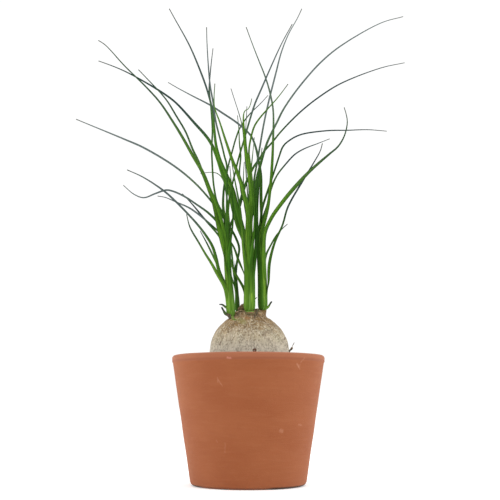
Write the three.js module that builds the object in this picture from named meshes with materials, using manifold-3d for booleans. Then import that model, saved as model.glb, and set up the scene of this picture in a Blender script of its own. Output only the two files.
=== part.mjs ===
// A young ponytail palm in a round clay pot. Its swollen trunk base carries four leafy shoots.
// Millimetres, +Z up. The origin is the middle of the pot's underside, and the front faces -Y.
import * as THREE from "three";
import { mergeVertices } from "three/addons/utils/BufferGeometryUtils.js";
import Module from "manifold-3d";

const wasm = await Module();
wasm.setup();

// Clearance between pieces that touch
const GAP = 0.3;

// Pot: a tapered clay wall with a short upright collar and a rounded lip
const POT_HEIGHT = 116;
const RIM_RADIUS = 70;
const COLLAR_HEIGHT = 7;
const COLLAR_STEP = 0.7;
const FOOT_RADIUS = 53;
const FOOT_HEIGHT = 6;
const BASE_RADIUS = 48.5;
const LIP_RADIUS = 2.8;
const WALL = 8.5;
const FLOOR = 10;
const DRAIN_RADIUS = 7;
const POT_SIDES = 48;

// Soil: fills the pot to a little below the rim
const SOIL_LEVEL = 102;
const SOIL_MOUND = 3;

// Trunk base: half width against height, from the rounded underside in the soil to the flat top
const TRUNK_PROFILE = [
  [0, 75], [16, 76], [29, 86], [35, 100], [36.8, 112], [36.6, 120], [35.2, 129], [32, 136.5],
  [27.6, 142.5], [22.6, 147.2], [19.4, 149.6], [15, 151.4], [8, 152.2], [0, 152.4],
];
const TRUNK_CENTRE = [0.4, 0];
const TRUNK_DEPTH_SHARE = 0.96;
const TRUNK_SIDES = 32;
const TRUNK_WAVE = 0.011;

// Swellings that grow out of the top of the trunk base, each with its half width against height
const SWELLINGS = {
  crown: {
    centre: [2.2, 1.5],
    profile: [[19, 145.5], [16, 149.4], [13.8, 153], [11.8, 155.2], [8.5, 156.4]],
  },
  right_neck: { centre: [12.8, 2.5], profile: [[5.4, 146], [4, 151], [3.7, 154], [4.4, 157.6]] },
  web: { centre: [7.7, 0.2], profile: [[5.4, 150], [3.6, 157], [1.4, 159.8]] },
  back_neck: { centre: [-10.2, 12], profile: [[5.8, 146], [3, 158]] },
  old_stem: {
    centre: [-4.6, 6.6],
    profile: [[6.2, 151], [5.5, 157], [5, 160.4], [3.4, 162.8], [1.2, 164.8]],
  },
};
const SWELLING_SIDES = 20;

// Dry rootlet that curls out of the soil against the right side of the trunk base
const ROOTLET_PATH = [
  [33, -2, 117], [36.6, -2, 119.6], [38.6, -2.2, 121], [39.8, -2.4, 122.4],
  [40.4, -2.6, 124.2], [41.2, -2.8, 126], [42.2, -3, 127.8],
];
const ROOTLET_RADII = [2, 1.7, 1.1, 1.1, 0.5, 0.4, 0.35];

// The leaves are read on the upright plane through the pot's axis, as seen from the front by this eye.
// A leaf that leans forwards or back keeps its outline in that view.
const EYE = { x: 1.5, distance: 850, z: 71 };

// Shoots: each stands on its neck, as a slim sheath of leaf bases that its leaves stand out of.
// axis lists [x, y, z] up the sheath, and radii is its half width there.
const SHOOTS = {
  shoot_left: {
    axis: [[-15.8, -5, 150.6], [-17.2, -4.4, 165], [-19, -4.5, 190], [-19.8, -5, 212], [-20, -5, 240]],
    radii: [3.6, 3.4, 2.7, 2.8, 1.3],
    colour: 0x5c8a2c,
  },
  shoot_back: {
    axis: [[-10.2, 12, 158], [-10.6, 11.4, 172], [-12, 11, 190], [-13, 11, 206]],
    radii: [1.9, 1.8, 1.5, 0.8],
    colour: 0x2f4a24,
  },
  shoot_centre: {
    axis: [[1, -2.5, 155.6], [1.2, -2.5, 170], [0.8, -3, 195], [0, -3.5, 220], [1, -4, 254]],
    radii: [4.7, 4.6, 4.4, 4.4, 1.6],
    colour: 0x5f8f30,
  },
  shoot_right: {
    axis: [[13.4, 2.5, 157], [13.2, 3, 170], [12.4, 4, 195], [11.2, 5, 218], [11.4, 5.5, 248]],
    radii: [3.8, 3.9, 3.6, 3.8, 1.4],
    colour: 0x54812c,
  },
};

// Leaves: foot and seen are the widths that show from the front, low down and from a third of the way up,
// and wide is the share of the length where a broad leaf starts to taper, if later than the others.
// start, middle and tip are the depths where the leaf leaves its sheath, half way and at its tip.
// upper says whether the upper side shows, and path lists [x, z] from the sheath outwards.
const LEAVES = [
  // Left shoot
  {
    shoot: "shoot_left", name: "low_front", foot: 3.4, seen: 3.2, middle: -22, tip: -62, upper: true,
    path: [[-20.5, 168], [-23.6, 180], [-28, 189], [-34, 200.5], [-40, 210], [-47, 222], [-55, 236],
      [-58.5, 249]],
  },
  {
    shoot: "shoot_left", name: "low_long", foot: 3, seen: 2.6, middle: -14, tip: -40, upper: false,
    path: [[-19.5, 165], [-23.6, 182], [-28.4, 197], [-30.6, 207], [-34, 218], [-41, 229.5], [-50, 241],
      [-69, 261], [-80, 271], [-100, 284.5], [-116, 292]],
  },
  {
    shoot: "shoot_left", name: "low_short", foot: 2.6, seen: 2.2, middle: 6, tip: 26, upper: false,
    path: [[-19, 166], [-23, 184], [-28.3, 198], [-33.8, 210], [-38.9, 220.5], [-45.6, 233]],
  },
  {
    shoot: "shoot_left", name: "main", foot: 4.4, seen: 4.6, middle: -30, tip: -70, upper: true,
    path: [[-22, 200], [-25, 222], [-28.4, 238], [-30.7, 250], [-33, 260], [-36.5, 270], [-44.3, 290],
      [-53, 305], [-63.5, 324], [-73, 339.7], [-85, 358], [-98, 373], [-120.4, 395.7], [-139.6, 417],
      [-147, 422]],
  },
  {
    shoot: "shoot_left", name: "main_beside", foot: 3.6, seen: 3.6, middle: -46, tip: -112, upper: true,
    path: [[-23.5, 222], [-27.5, 248], [-32.5, 263], [-36.4, 272], [-40.6, 281], [-44.4, 291],
      [-48.2, 301], [-53.4, 312], [-60.2, 329], [-69.8, 345.6], [-79.4, 361.4], [-99.5, 384],
      [-107, 392]],
  },
  {
    shoot: "shoot_left", name: "upright", foot: 3.2, seen: 1.6, middle: -24, tip: -58, upper: false,
    path: [[-20.7, 243], [-20.5, 268], [-20.4, 286], [-21, 298], [-22.8, 304.5], [-25, 314],
      [-28, 325.5], [-31, 337.5], [-32.8, 348], [-34, 358], [-37, 375], [-38.6, 391], [-40.5, 420],
      [-41, 436]],
  },
  {
    shoot: "shoot_left", name: "upright_beside", foot: 3.2, seen: 2, middle: 5, tip: 34, upper: false,
    path: [[-25, 240], [-26.8, 249], [-29.5, 256], [-31.5, 267], [-33.3, 279], [-34.6, 298],
      [-35.2, 314], [-34.6, 330], [-36, 352], [-38, 372], [-37.4, 384], [-36, 400], [-34.5, 414]],
  },
  {
    shoot: "shoot_left", name: "across_blue", foot: 3, seen: 2.6, middle: 40, tip: 104, upper: false,
    path: [[-22.6, 236], [-24, 252], [-23.8, 268], [-22.5, 280], [-20.4, 290], [-18.5, 299],
      [-15.7, 309.5], [-12.2, 322.5], [-8.6, 332.5], [-3.5, 341], [2, 348], [12, 358], [19, 366]],
  },
  {
    shoot: "shoot_left", name: "across_thin", foot: 3.2, seen: 2, middle: -40, tip: -96, upper: false,
    path: [[-18.4, 246], [-17.8, 262], [-15.6, 277], [-13, 288], [-11, 297], [-8.7, 306], [-5, 319],
      [-1.5, 331.5], [1.7, 343], [6, 357], [12, 371.5], [24, 400], [33, 420], [43, 439]],
  },
  {
    shoot: "shoot_left", name: "across_long", foot: 3.4, seen: 2.6, start: 5, middle: 38, tip: 62,
    upper: false,
    path: [[-13, 236], [-10, 250], [-7.5, 262], [-3.3, 277], [0, 284.7], [5.3, 295.7], [10, 302.3],
      [14.5, 309.7], [22.8, 319.3], [31.3, 330], [50.6, 350], [70, 365.7], [90, 378.3], [129, 393.8],
      [152, 399]],
  },
  {
    shoot: "shoot_left", name: "inner", foot: 3, seen: 2.6, middle: -12, tip: -18, upper: false,
    path: [[-16.6, 210], [-15.6, 228], [-14.6, 245], [-15, 262], [-16.4, 280], [-17.8, 296]],
  },
  // Back shoot
  {
    shoot: "shoot_back", name: "behind_left", foot: 1.8, seen: 2, middle: 34, tip: -10, upper: false,
    path: [[-10.4, 172], [-12, 186], [-11, 202], [-8.8, 216], [-12, 226], [-20, 240], [-28, 251.5],
      [-35.6, 261.7], [-50, 278], [-69.7, 294.7], [-100, 313.4], [-119, 322], [-150, 335.2],
      [-166, 342]],
  },
  {
    shoot: "shoot_back", name: "wavy", foot: 2.2, seen: 2.6, middle: 40, tip: 84, upper: false,
    path: [[-11.6, 172], [-16.5, 188.6], [-21, 206], [-25, 225], [-28.5, 239.5], [-37.5, 249.5],
      [-49, 258], [-61, 266], [-72, 271], [-78, 272], [-88, 268.7], [-99, 264.6], [-108.5, 268],
      [-119, 277]],
  },
  {
    shoot: "shoot_back", name: "arch", foot: 1.8, seen: 1.8, middle: 84, tip: 116, upper: false,
    path: [[-12, 176], [-15, 205], [-18, 240], [-21, 268], [-24.5, 283], [-30, 288.5], [-37, 289.4],
      [-46, 288]],
  },
  // Centre shoot
  {
    shoot: "shoot_centre", name: "low_behind", foot: 1.9, seen: 1.8, middle: 20, tip: 70, upper: false,
    path: [[-3.6, 172], [-8.8, 182.5], [-12.8, 192], [-16.5, 204], [-21.5, 216], [-27.7, 227.5],
      [-33.6, 235], [-38.4, 240.4], [-53.4, 258.6], [-62.8, 268.7]],
  },
  {
    shoot: "shoot_centre", name: "low_behind_long", foot: 2.2, seen: 1.8, middle: 30, tip: 58, upper: false,
    path: [[-2.6, 184], [-6.4, 195], [-10, 206], [-14.3, 218], [-20.5, 226], [-28, 232], [-38, 240.8],
      [-44.6, 246.5], [-55.7, 254.6], [-67.5, 260], [-79, 265], [-86.5, 266.3]],
  },
  {
    shoot: "shoot_centre", name: "to_left", foot: 4.2, seen: 4, middle: 12, tip: 40, upper: false,
    path: [[-4, 214], [-9.6, 236], [-14, 252], [-18, 269], [-21.7, 279.5], [-25.7, 290], [-29.5, 302],
      [-34.5, 315], [-40, 324], [-52, 338], [-70.4, 358.6], [-83.4, 368.6], [-109, 384.3],
      [-121.7, 391], [-133, 395.9], [-146, 400.8]],
  },
  {
    shoot: "shoot_centre", name: "to_left_wide", foot: 4.2, seen: 3.8, middle: -10, tip: -24, upper: false,
    path: [[-3, 218], [-7.5, 240], [-11, 254], [-14.5, 270], [-18.2, 280], [-22.3, 289.5], [-27.5, 302],
      [-31.2, 316], [-33, 332], [-34.8, 350], [-40, 371], [-47, 391], [-57.8, 417], [-73.5, 446.4],
      [-78, 455]],
  },
  {
    shoot: "shoot_centre", name: "to_left_front", foot: 4.4, seen: 4.6, wide: 0.5, middle: -58,
    tip: -128, upper: true,
    path: [[-0.5, 236], [-2, 258], [-5, 270], [-7.5, 280], [-11, 290], [-15, 300], [-21.7, 320],
      [-28, 340], [-30.8, 347.5], [-32.8, 354], [-33.2, 364], [-32.5, 378]],
  },
  {
    shoot: "shoot_centre", name: "curled", foot: 4.4, seen: 4, wide: 0.74, middle: -32, tip: -78, upper: true,
    path: [[3.4, 240], [2.9, 262], [1.3, 280], [-1.2, 300], [-2.8, 312], [-4.2, 330], [-4.9, 340],
      [-4.6, 347], [-3.4, 350.4], [0, 352.3], [2, 357], [3.3, 363]],
  },
  {
    shoot: "shoot_centre", name: "dashed", foot: 2.4, seen: 1, middle: 50, tip: 100, upper: false,
    path: [[0, 250], [-2, 285], [-4, 315], [-6, 335], [-9, 347], [-13.5, 361.5], [-17, 373]],
  },
  {
    shoot: "shoot_centre", name: "thin_left", foot: 3, seen: 2, middle: 30, tip: 66, upper: false,
    path: [[-3.5, 248], [-7.6, 276], [-8.6, 290], [-7.4, 305], [-8.6, 318], [-9.2, 331], [-10.6, 346]],
  },
  {
    shoot: "shoot_centre", name: "thin_pale", foot: 2.4, seen: 1, middle: 62, tip: 124, upper: false,
    path: [[1, 250], [-1, 300], [-2.6, 330], [-1.9, 345], [-1.5, 355]],
  },
  {
    shoot: "shoot_centre", name: "to_right_long", foot: 4.2, seen: 2.8, middle: -14, tip: -34, upper: false,
    path: [[4.6, 240], [6, 262], [7.3, 279], [9, 288.5], [11.5, 298], [14.7, 309.5], [18.2, 320],
      [22.5, 329.5], [27.5, 339.5], [32.5, 350], [42, 365], [54.8, 382], [69.7, 399], [88.8, 415.5],
      [130, 440], [152, 446.5]],
  },
  {
    shoot: "shoot_centre", name: "to_right_thin", foot: 3.4, seen: 1.6, middle: 14, tip: 6, upper: false,
    path: [[5, 256], [5.2, 281], [8, 298.5], [11, 316], [14, 334], [17.2, 350], [20.5, 364.5],
      [26.6, 389], [32, 410], [39.4, 429], [47.8, 444.6], [52.5, 455]],
  },
  {
    shoot: "shoot_centre", name: "olive", foot: 3.8, seen: 1.9, middle: -20, tip: -60, upper: true,
    path: [[3, 262], [1.6, 290], [0.4, 310], [2.2, 323], [5.7, 335], [11, 343.3], [17, 350.5],
      [28.2, 363.5], [38.5, 377.5]],
  },
  {
    shoot: "shoot_centre", name: "brownish", foot: 3, seen: 1.3, middle: 40, tip: 74, upper: false,
    path: [[3, 258], [2.8, 294], [3.6, 303], [4.6, 313], [5.7, 324]],
  },
  {
    shoot: "shoot_centre", name: "faint", foot: 2.4, seen: 1.4, middle: 26, tip: 46, upper: false,
    path: [[-1.5, 236], [-4, 262], [-4.8, 283], [-4, 300]],
  },
  {
    shoot: "shoot_centre", name: "inner_right", foot: 3.2, seen: 3, middle: -12, tip: -20, upper: true,
    path: [[4, 206], [5, 225], [5.8, 245], [5.2, 262], [3.8, 280], [2, 298], [0.4, 312]],
  },
  {
    shoot: "shoot_centre", name: "between", foot: 2.8, seen: 3, middle: -9, tip: -14, upper: false,
    path: [[4.4, 184], [5.8, 200], [6.6, 214], [7, 230], [6.8, 246], [7.2, 262], [8.4, 280], [10, 298]],
  },
  {
    shoot: "shoot_centre", name: "inner_left", foot: 3, seen: 2.8, middle: -14, tip: -26, upper: false,
    path: [[-4.4, 200], [-5.4, 218], [-6, 236], [-7.6, 252], [-10.4, 268], [-13.4, 284], [-16, 300]],
  },
  // Right shoot
  {
    shoot: "shoot_right", name: "tall", foot: 3.6, seen: 3.2, wide: 0.5, middle: -30, tip: -66, upper: true,
    path: [[15.6, 232], [18, 252], [20.8, 276], [22.6, 300], [23.6, 324], [24, 342], [23.4, 354],
      [19.7, 372.6], [15.3, 387], [10.4, 400], [3.4, 419], [-2.5, 436]],
  },
  {
    shoot: "shoot_right", name: "level", foot: 3, seen: 2.2, middle: 40, tip: 70, upper: false,
    path: [[12.8, 245], [15.3, 262], [20, 277], [24.8, 291.5], [29, 304.5], [33, 315], [38.5, 320.5],
      [49.7, 326.6], [75, 330.6], [95, 331], [115, 331.5], [133, 330]],
  },
  {
    shoot: "shoot_right", name: "to_right", foot: 3.4, seen: 2.6, middle: 52, tip: 118, upper: false,
    path: [[15.4, 240], [17.8, 256], [21.3, 273], [27, 286.3], [35, 297], [44.5, 307.3], [54, 313],
      [65.5, 317.5], [78, 322.5]],
  },
  {
    shoot: "shoot_right", name: "front", foot: 3, seen: 4, wide: 0.56, middle: -40, tip: -104, upper: true,
    path: [[15.2, 215], [16.2, 232], [21.4, 245], [30.8, 258.8], [41.2, 271.9], [57.8, 290.1],
      [76.7, 307], [85.6, 314.8], [91.8, 325.4], [94.8, 338], [94.2, 345.5], [92, 354]],
  },
  {
    shoot: "shoot_right", name: "low_right", foot: 2.6, seen: 2.2, middle: -12, tip: -30, upper: false,
    path: [[17.6, 170], [19.2, 183], [18.8, 193], [19.6, 203], [24.3, 221], [32, 238.5], [37.3, 256],
      [52, 282], [61.6, 298], [68.8, 311], [70.8, 318.5]],
  },
  {
    shoot: "shoot_right", name: "low_small", foot: 2.2, seen: 1.8, middle: 22, tip: 44, upper: false,
    path: [[15, 198], [17.6, 211], [24.7, 226], [30.2, 233.2], [37, 239.5]],
  },
  {
    shoot: "shoot_right", name: "back_to_left", foot: 3.4, seen: 3, middle: 20, tip: 60, upper: false,
    path: [[11.6, 240], [11.7, 270], [11.7, 286], [9.6, 300], [6.7, 314.5], [2.5, 325], [-5, 333],
      [-13, 339.7], [-24, 347.3], [-37, 356], [-53, 364.6], [-69, 373.5], [-78, 379]],
  },
  {
    shoot: "shoot_right", name: "inner", foot: 3.4, seen: 3.2, middle: -2, tip: 2, upper: false,
    path: [[9.4, 205], [8.4, 225], [8.2, 245], [8.8, 262], [10, 280], [11.4, 298], [13, 314]],
  },
];

// Dry stubs of old leaves at the foot of the sheaths, each [x, y, z] from the sheath outwards
const STUBS = [
  {
    shoot: "shoot_left", radius: 1.2,
    path: [[-17.4, -7, 152.6], [-20.6, -7.4, 153.6], [-23, -7.6, 157], [-24.6, -7.6, 160]],
  },
  {
    shoot: "shoot_left", radius: 1,
    path: [[-18.6, -5, 158.5], [-22, -5.4, 161], [-24, -5.6, 162.4], [-26.8, -6, 162.6]],
  },
  {
    shoot: "shoot_centre", radius: 0.7,
    path: [[3.6, -4, 165], [6, -4.4, 167.6], [8, -4.8, 169.4]],
  },
  {
    shoot: "shoot_right", radius: 1,
    path: [[14.6, 0.6, 158.8], [18.4, 0, 161], [20.4, -0.4, 164.2], [21.8, -0.6, 166]],
  },
];

// Blade section, and its rings: one after each step, or sooner where the blade bends
const BLADE_THICKNESS = 0.9;
const CHANNEL_SHARE = 0.12;
const BLADE_STEP = 18;
const BEND_STEP = THREE.MathUtils.degToRad(10);
const FINE_STEP = 1.5;
const TIP_WIDTH = 0.9;
const TAPER_START = 0.3;
const TAPER_POWER = 1.15;
const SLENDER_WIDTH = 1.6;
const SHEATH_SIDES = 10;
const PLUG_DEPTH = 4;

// A closed triangle mesh as a manifold solid
function solidOf(geometry) {
  const bare = geometry.index ? geometry.toNonIndexed() : geometry.clone();
  bare.deleteAttribute("normal");
  bare.deleteAttribute("uv");
  const merged = mergeVertices(bare, 1e-4);
  return new wasm.Manifold(
    new wasm.Mesh({
      numProp: 3,
      vertProperties: new Float32Array(merged.attributes.position.array),
      triVerts: new Uint32Array(merged.index.array),
    }),
  );
}

// A manifold solid as a three.js geometry
function geometryOf(solid) {
  const mesh = solid.getMesh();
  const geometry = new THREE.BufferGeometry();
  geometry.setAttribute("position", new THREE.BufferAttribute(mesh.vertProperties, 3));
  geometry.setIndex(new THREE.BufferAttribute(mesh.triVerts, 1));
  geometry.computeVertexNormals();
  return geometry;
}

// The outer shell of a joined solid: the hollows that joining sealed are filled
function outerShell(solid) {
  const shells = solid.decompose();
  return shells.reduce((largest, shell) => (shell.volume() > largest.volume() ? shell : largest));
}

// A closed solid through rings of points, each ring in the same turning sense seen from its end
function loft(rings) {
  const sides = rings[0].length;
  const points = rings.flat();
  const faces = [];
  for (let ring = 0; ring + 1 < rings.length; ring += 1) {
    for (let side = 0; side < sides; side += 1) {
      const next = (side + 1) % sides;
      const low = ring * sides;
      const high = low + sides;
      faces.push(low + side, low + next, high + next);
      faces.push(low + side, high + next, high + side);
    }
  }
  const last = (rings.length - 1) * sides;
  for (let side = 1; side + 1 < sides; side += 1) {
    faces.push(0, side + 1, side);
    faces.push(last, last + side, last + side + 1);
  }
  const geometry = new THREE.BufferGeometry();
  const values = points.flatMap((p) => p.toArray());
  geometry.setAttribute("position", new THREE.Float32BufferAttribute(values, 3));
  geometry.setIndex(faces);
  return geometry;
}

// A round tapered solid along a path of points, with a radius at each
function taperedRod(path, radii, sides) {
  const rings = path.map((centre, i) => {
    const before = path[Math.max(i - 1, 0)];
    const after = path[Math.min(i + 1, path.length - 1)];
    const along = after.clone().sub(before).normalize();
    const across = new THREE.Vector3(0, 1, 0).cross(along).normalize();
    const other = along.clone().cross(across);
    return Array.from({ length: sides }, (_, side) => {
      const turn = (2 * Math.PI * side) / sides;
      return centre
        .clone()
        .addScaledVector(across, radii[i] * Math.cos(turn))
        .addScaledVector(other, radii[i] * Math.sin(turn));
    });
  });
  return loft(rings);
}

function lathe(profile, sides) {
  const points = profile.map(([radius, z]) => new THREE.Vector2(radius, z));
  return new THREE.LatheGeometry(points, sides).rotateX(Math.PI / 2);
}

// Pot
function potSolid() {
  const inner = RIM_RADIUS - WALL;
  const innerFoot = BASE_RADIUS - WALL + 3.5;
  const lipCentre = POT_HEIGHT - LIP_RADIUS;
  const lip = [];
  for (let i = 0; i <= 4; i += 1) {
    const turn = (i / 4) * (Math.PI / 2);
    const out = LIP_RADIUS * Math.cos(turn);
    const up = LIP_RADIUS * Math.sin(turn);
    lip.push([RIM_RADIUS - LIP_RADIUS + out, lipCentre + up]);
  }
  const innerLip = [[inner + 1.4, POT_HEIGHT - 0.5], [inner, POT_HEIGHT - 2.6]];
  return solidOf(
    lathe(
      [
        [DRAIN_RADIUS, 0],
        [BASE_RADIUS, 0],
        [BASE_RADIUS + 2.9, 1.6],
        [FOOT_RADIUS, FOOT_HEIGHT],
        [RIM_RADIUS - COLLAR_STEP, POT_HEIGHT - COLLAR_HEIGHT],
        [RIM_RADIUS, POT_HEIGHT - COLLAR_HEIGHT + 1],
        ...lip,
        ...innerLip,
        [innerFoot, FLOOR + 4],
        [innerFoot - 4, FLOOR],
        [DRAIN_RADIUS, FLOOR],
        [DRAIN_RADIUS, 0],
      ],
      POT_SIDES,
    ),
  );
}

// Radius of the pot's inner wall at a height
function innerWall(z) {
  const foot = BASE_RADIUS - WALL + 3.5;
  const share = (z - FLOOR - 4) / (POT_HEIGHT - 2.6 - FLOOR - 4);
  return foot + share * (RIM_RADIUS - WALL - foot);
}

// Trunk base, grown by a clearance where it is used to cut its own seat
function trunkBody(grow) {
  const [cx, cy] = TRUNK_CENTRE;
  const inside = TRUNK_PROFILE.slice(1, -1);
  const rings = inside.map(([radius, z]) =>
    Array.from({ length: TRUNK_SIDES }, (_, side) => {
      const turn = (2 * Math.PI * side) / TRUNK_SIDES;
      const wave = 1 + TRUNK_WAVE * (Math.sin(3 * turn + z / 17) + 0.7 * Math.sin(5 * turn - z / 11));
      const reach = radius * wave + grow;
      const lift = z < 90 ? -grow : 0;
      return new THREE.Vector3(
        cx + reach * Math.cos(turn),
        cy + reach * TRUNK_DEPTH_SHARE * Math.sin(turn),
        z + lift,
      );
    }),
  );
  return solidOf(loft(rings));
}

function swellingSolid({ centre: [x, y], profile }) {
  const path = profile.map(([, z]) => new THREE.Vector3(x, y, z));
  const radii = profile.map(([radius]) => radius);
  return solidOf(taperedRod(path, radii, SWELLING_SIDES));
}

function trunkSolid() {
  let trunk = trunkBody(0);
  for (const swelling of Object.values(SWELLINGS)) {
    trunk = trunk.add(swellingSolid(swelling));
  }
  const rootlet = ROOTLET_PATH.map((p) => new THREE.Vector3(...p));
  trunk = trunk.add(solidOf(taperedRod(rootlet, ROOTLET_RADII, 6)));
  for (const shoot of Object.values(SHOOTS)) {
    trunk = trunk.subtract(sheathSolid(shoot, GAP));
  }
  return trunk;
}

// Soil, with a seat for the trunk base
function soilSolid() {
  const top = SOIL_LEVEL;
  const filled = lathe(
    [
      [0, FLOOR + GAP],
      [innerWall(FLOOR + 4) - 4 - GAP, FLOOR + GAP],
      [innerWall(FLOOR + 4) - GAP, FLOOR + 4 + GAP],
      [innerWall(top) - GAP, top],
      [innerWall(top) - 9, top + 0.6 * SOIL_MOUND],
      [34, top + SOIL_MOUND],
      [0, top + SOIL_MOUND],
    ],
    POT_SIDES,
  );
  return solidOf(filled).subtract(trunkBody(GAP));
}

// Where a point of the front view lies at a depth
function placed(x, z, depth) {
  const share = 1 + depth / EYE.distance;
  return new THREE.Vector3(EYE.x + (x - EYE.x) * share, depth, EYE.z + (z - EYE.z) * share);
}

function shootAxis(shoot) {
  return new THREE.CatmullRomCurve3(shoot.axis.map((p) => new THREE.Vector3(...p)), false, "centripetal");
}

// The point of a sheath's axis at a height
function axisAt(shoot, z) {
  const curve = shootAxis(shoot);
  const foot = shoot.axis[0][2];
  const top = shoot.axis[shoot.axis.length - 1][2];
  return curve.getPoint(THREE.MathUtils.clamp((z - foot) / (top - foot), 0, 1));
}

// A leaf's middle line: from inside its sheath, up along the side that it leans to, and out
function leafCurve(leaf) {
  const shoot = SHOOTS[leaf.shoot];
  const [footX, footY, footZ] = shoot.axis[0];
  const [tipX] = leaf.path[leaf.path.length - 1];
  const lean = Math.atan2(leaf.tip - footY, tipX - footX);
  const points = [];
  const [, firstZ] = leaf.path[0];
  for (const [rise, share] of [[4, 0.35], [20, 0.85], [44, 0.95]]) {
    const z = footZ + rise;
    if (z < firstZ - 10) {
      const reach = share * shoot.radii[1];
      const out = new THREE.Vector3(Math.cos(lean), Math.sin(lean), 0).multiplyScalar(reach);
      points.push(axisAt(shoot, z).setZ(z).add(out));
    }
  }
  const start = leaf.start ?? axisAt(shoot, firstZ).y + shoot.radii[1] * Math.sin(lean);
  let run = 0;
  const runs = leaf.path.map(([x, z], i) => {
    const [beforeX, beforeZ] = leaf.path[Math.max(i - 1, 0)];
    run += Math.hypot(x - beforeX, z - beforeZ);
    return run;
  });
  leaf.path.forEach(([x, z], i) => {
    const t = runs[i] / run;
    const near = start * (1 - t) * (1 - 2 * t) + leaf.middle * 4 * t * (1 - t);
    points.push(placed(x, z, near + leaf.tip * t * (2 * t - 1)));
  });
  return new THREE.CatmullRomCurve3(points, false, "centripetal");
}

// Width of a leaf along it, as seen from the front
function seenWidth(leaf, t) {
  const low = THREE.MathUtils.lerp(leaf.foot, leaf.seen, THREE.MathUtils.smoothstep(t, 0.2, 0.45));
  const wide = leaf.wide ?? TAPER_START;
  const spent = THREE.MathUtils.clamp((t - wide) / (1 - wide), 0, 1);
  const slender = Math.min(low, SLENDER_WIDTH) * (1 - 0.6 * THREE.MathUtils.smoothstep(t, 0.72, 1));
  return Math.max(low * (1 - spent) ** TAPER_POWER, slender);
}

// How far a blade is turned out of the front view, more for a leaf that leans sideways
function bladeTurn(leaf, shoot) {
  const [footX, footY] = shoot.axis[0];
  const aside = Math.abs(leaf.path[leaf.path.length - 1][0] - footX);
  const ahead = Math.abs(leaf.tip - footY);
  return THREE.MathUtils.degToRad(12 + 30 * (aside / Math.hypot(aside, ahead)));
}

// The shares of a curve's length where the rings of a blade stand
function ringShares(curve) {
  const length = curve.getLength();
  const shares = [0];
  let last = 0;
  let bend = 0;
  let before = curve.getTangentAt(0);
  for (let run = FINE_STEP; run < length - 2 * FINE_STEP; run += FINE_STEP) {
    const along = curve.getTangentAt(run / length);
    bend += before.angleTo(along);
    before = along;
    if (bend > BEND_STEP || run - last > BLADE_STEP) {
      shares.push(run / length);
      last = run;
      bend = 0;
    }
  }
  shares.push(1);
  return shares;
}

// A thin blade along a leaf's middle line, channelled on its upper side
function leafSolid(leaf) {
  const shoot = SHOOTS[leaf.shoot];
  const curve = leafCurve(leaf);
  const turn = bladeTurn(leaf, shoot);
  const rings = [];
  for (const t of ringShares(curve)) {
    const middle = curve.getPointAt(t);
    const along = curve.getTangentAt(t);
    const across = along.clone().cross(new THREE.Vector3(0, 1, 0)).normalize();
    const outward = across.clone().cross(along);
    const side = leaf.upper ? 1 : -1;
    across.applyAxisAngle(along, side * turn);
    outward.applyAxisAngle(along, side * turn).multiplyScalar(-side);
    const half = Math.max(seenWidth(leaf, t) / Math.cos(turn), TIP_WIDTH) / 2;
    const channel = 2 * half * CHANNEL_SHARE;
    const thick = Math.max(BLADE_THICKNESS * (1 - 0.35 * t), 0.6);
    const ring = [
      middle.clone().addScaledVector(across, -half).addScaledVector(outward, channel),
      middle.clone().addScaledVector(outward, -thick / 2),
      middle.clone().addScaledVector(across, half).addScaledVector(outward, channel),
      middle.clone().addScaledVector(outward, thick / 2),
    ];
    rings.push(leaf.upper ? ring : ring.reverse());
  }
  return solidOf(loft(rings));
}

// A sheath with its foot sunk in the trunk base, grown by a clearance where it cuts its own seat
function sheathSolid(shoot, grow) {
  const [x, y, z] = shoot.axis[0];
  const foot = new THREE.Vector3(x, y, z - PLUG_DEPTH - grow);
  const path = [foot, ...shoot.axis.map((p) => new THREE.Vector3(...p))];
  const radii = [shoot.radii[0], ...shoot.radii].map((radius) => radius + grow);
  return solidOf(taperedRod(path, radii, SHEATH_SIDES));
}

function stubSolid(stub) {
  const path = stub.path.map((p) => new THREE.Vector3(...p));
  const radii = path.map((_, i) => stub.radius * (1 - 0.55 * (i / (path.length - 1))));
  return solidOf(taperedRod(path, radii, 5));
}

function shootSolid(name) {
  const pieces = [sheathSolid(SHOOTS[name], 0)];
  pieces.push(...LEAVES.filter((leaf) => leaf.shoot === name).map(leafSolid));
  pieces.push(...STUBS.filter((stub) => stub.shoot === name).map(stubSolid));
  return outerShell(wasm.Manifold.union(pieces));
}

function node(name, solid, colour, roughness) {
  const material = new THREE.MeshStandardMaterial({ color: colour, roughness, metalness: 0 });
  const mesh = new THREE.Mesh(geometryOf(solid), material);
  mesh.name = name;
  return mesh;
}

const palm = new THREE.Group();
palm.add(node("pot", potSolid(), 0xa85f3a, 0.85));
palm.add(node("soil", soilSolid(), 0x3a2c20, 1));
palm.add(node("caudex", trunkSolid(), 0xb3a487, 0.9));
for (const name of Object.keys(SHOOTS)) {
  palm.add(node(name, shootSolid(name), SHOOTS[name].colour, 0.5));
}

export default palm;
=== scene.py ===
"""Blender scene of a young ponytail palm in a clay pot.

Lengths are in millimetres until a mesh is made, +Z is up and the front faces -Y.
"""
import math
from collections import defaultdict

import bpy
import numpy as np
from mathutils import Matrix, Vector, noise


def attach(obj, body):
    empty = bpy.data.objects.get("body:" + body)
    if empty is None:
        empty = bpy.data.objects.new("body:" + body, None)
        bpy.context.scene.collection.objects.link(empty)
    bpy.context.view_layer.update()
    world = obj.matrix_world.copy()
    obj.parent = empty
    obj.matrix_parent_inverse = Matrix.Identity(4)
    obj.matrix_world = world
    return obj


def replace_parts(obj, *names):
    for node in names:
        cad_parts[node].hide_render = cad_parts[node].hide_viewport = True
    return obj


MM = 0.001

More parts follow.
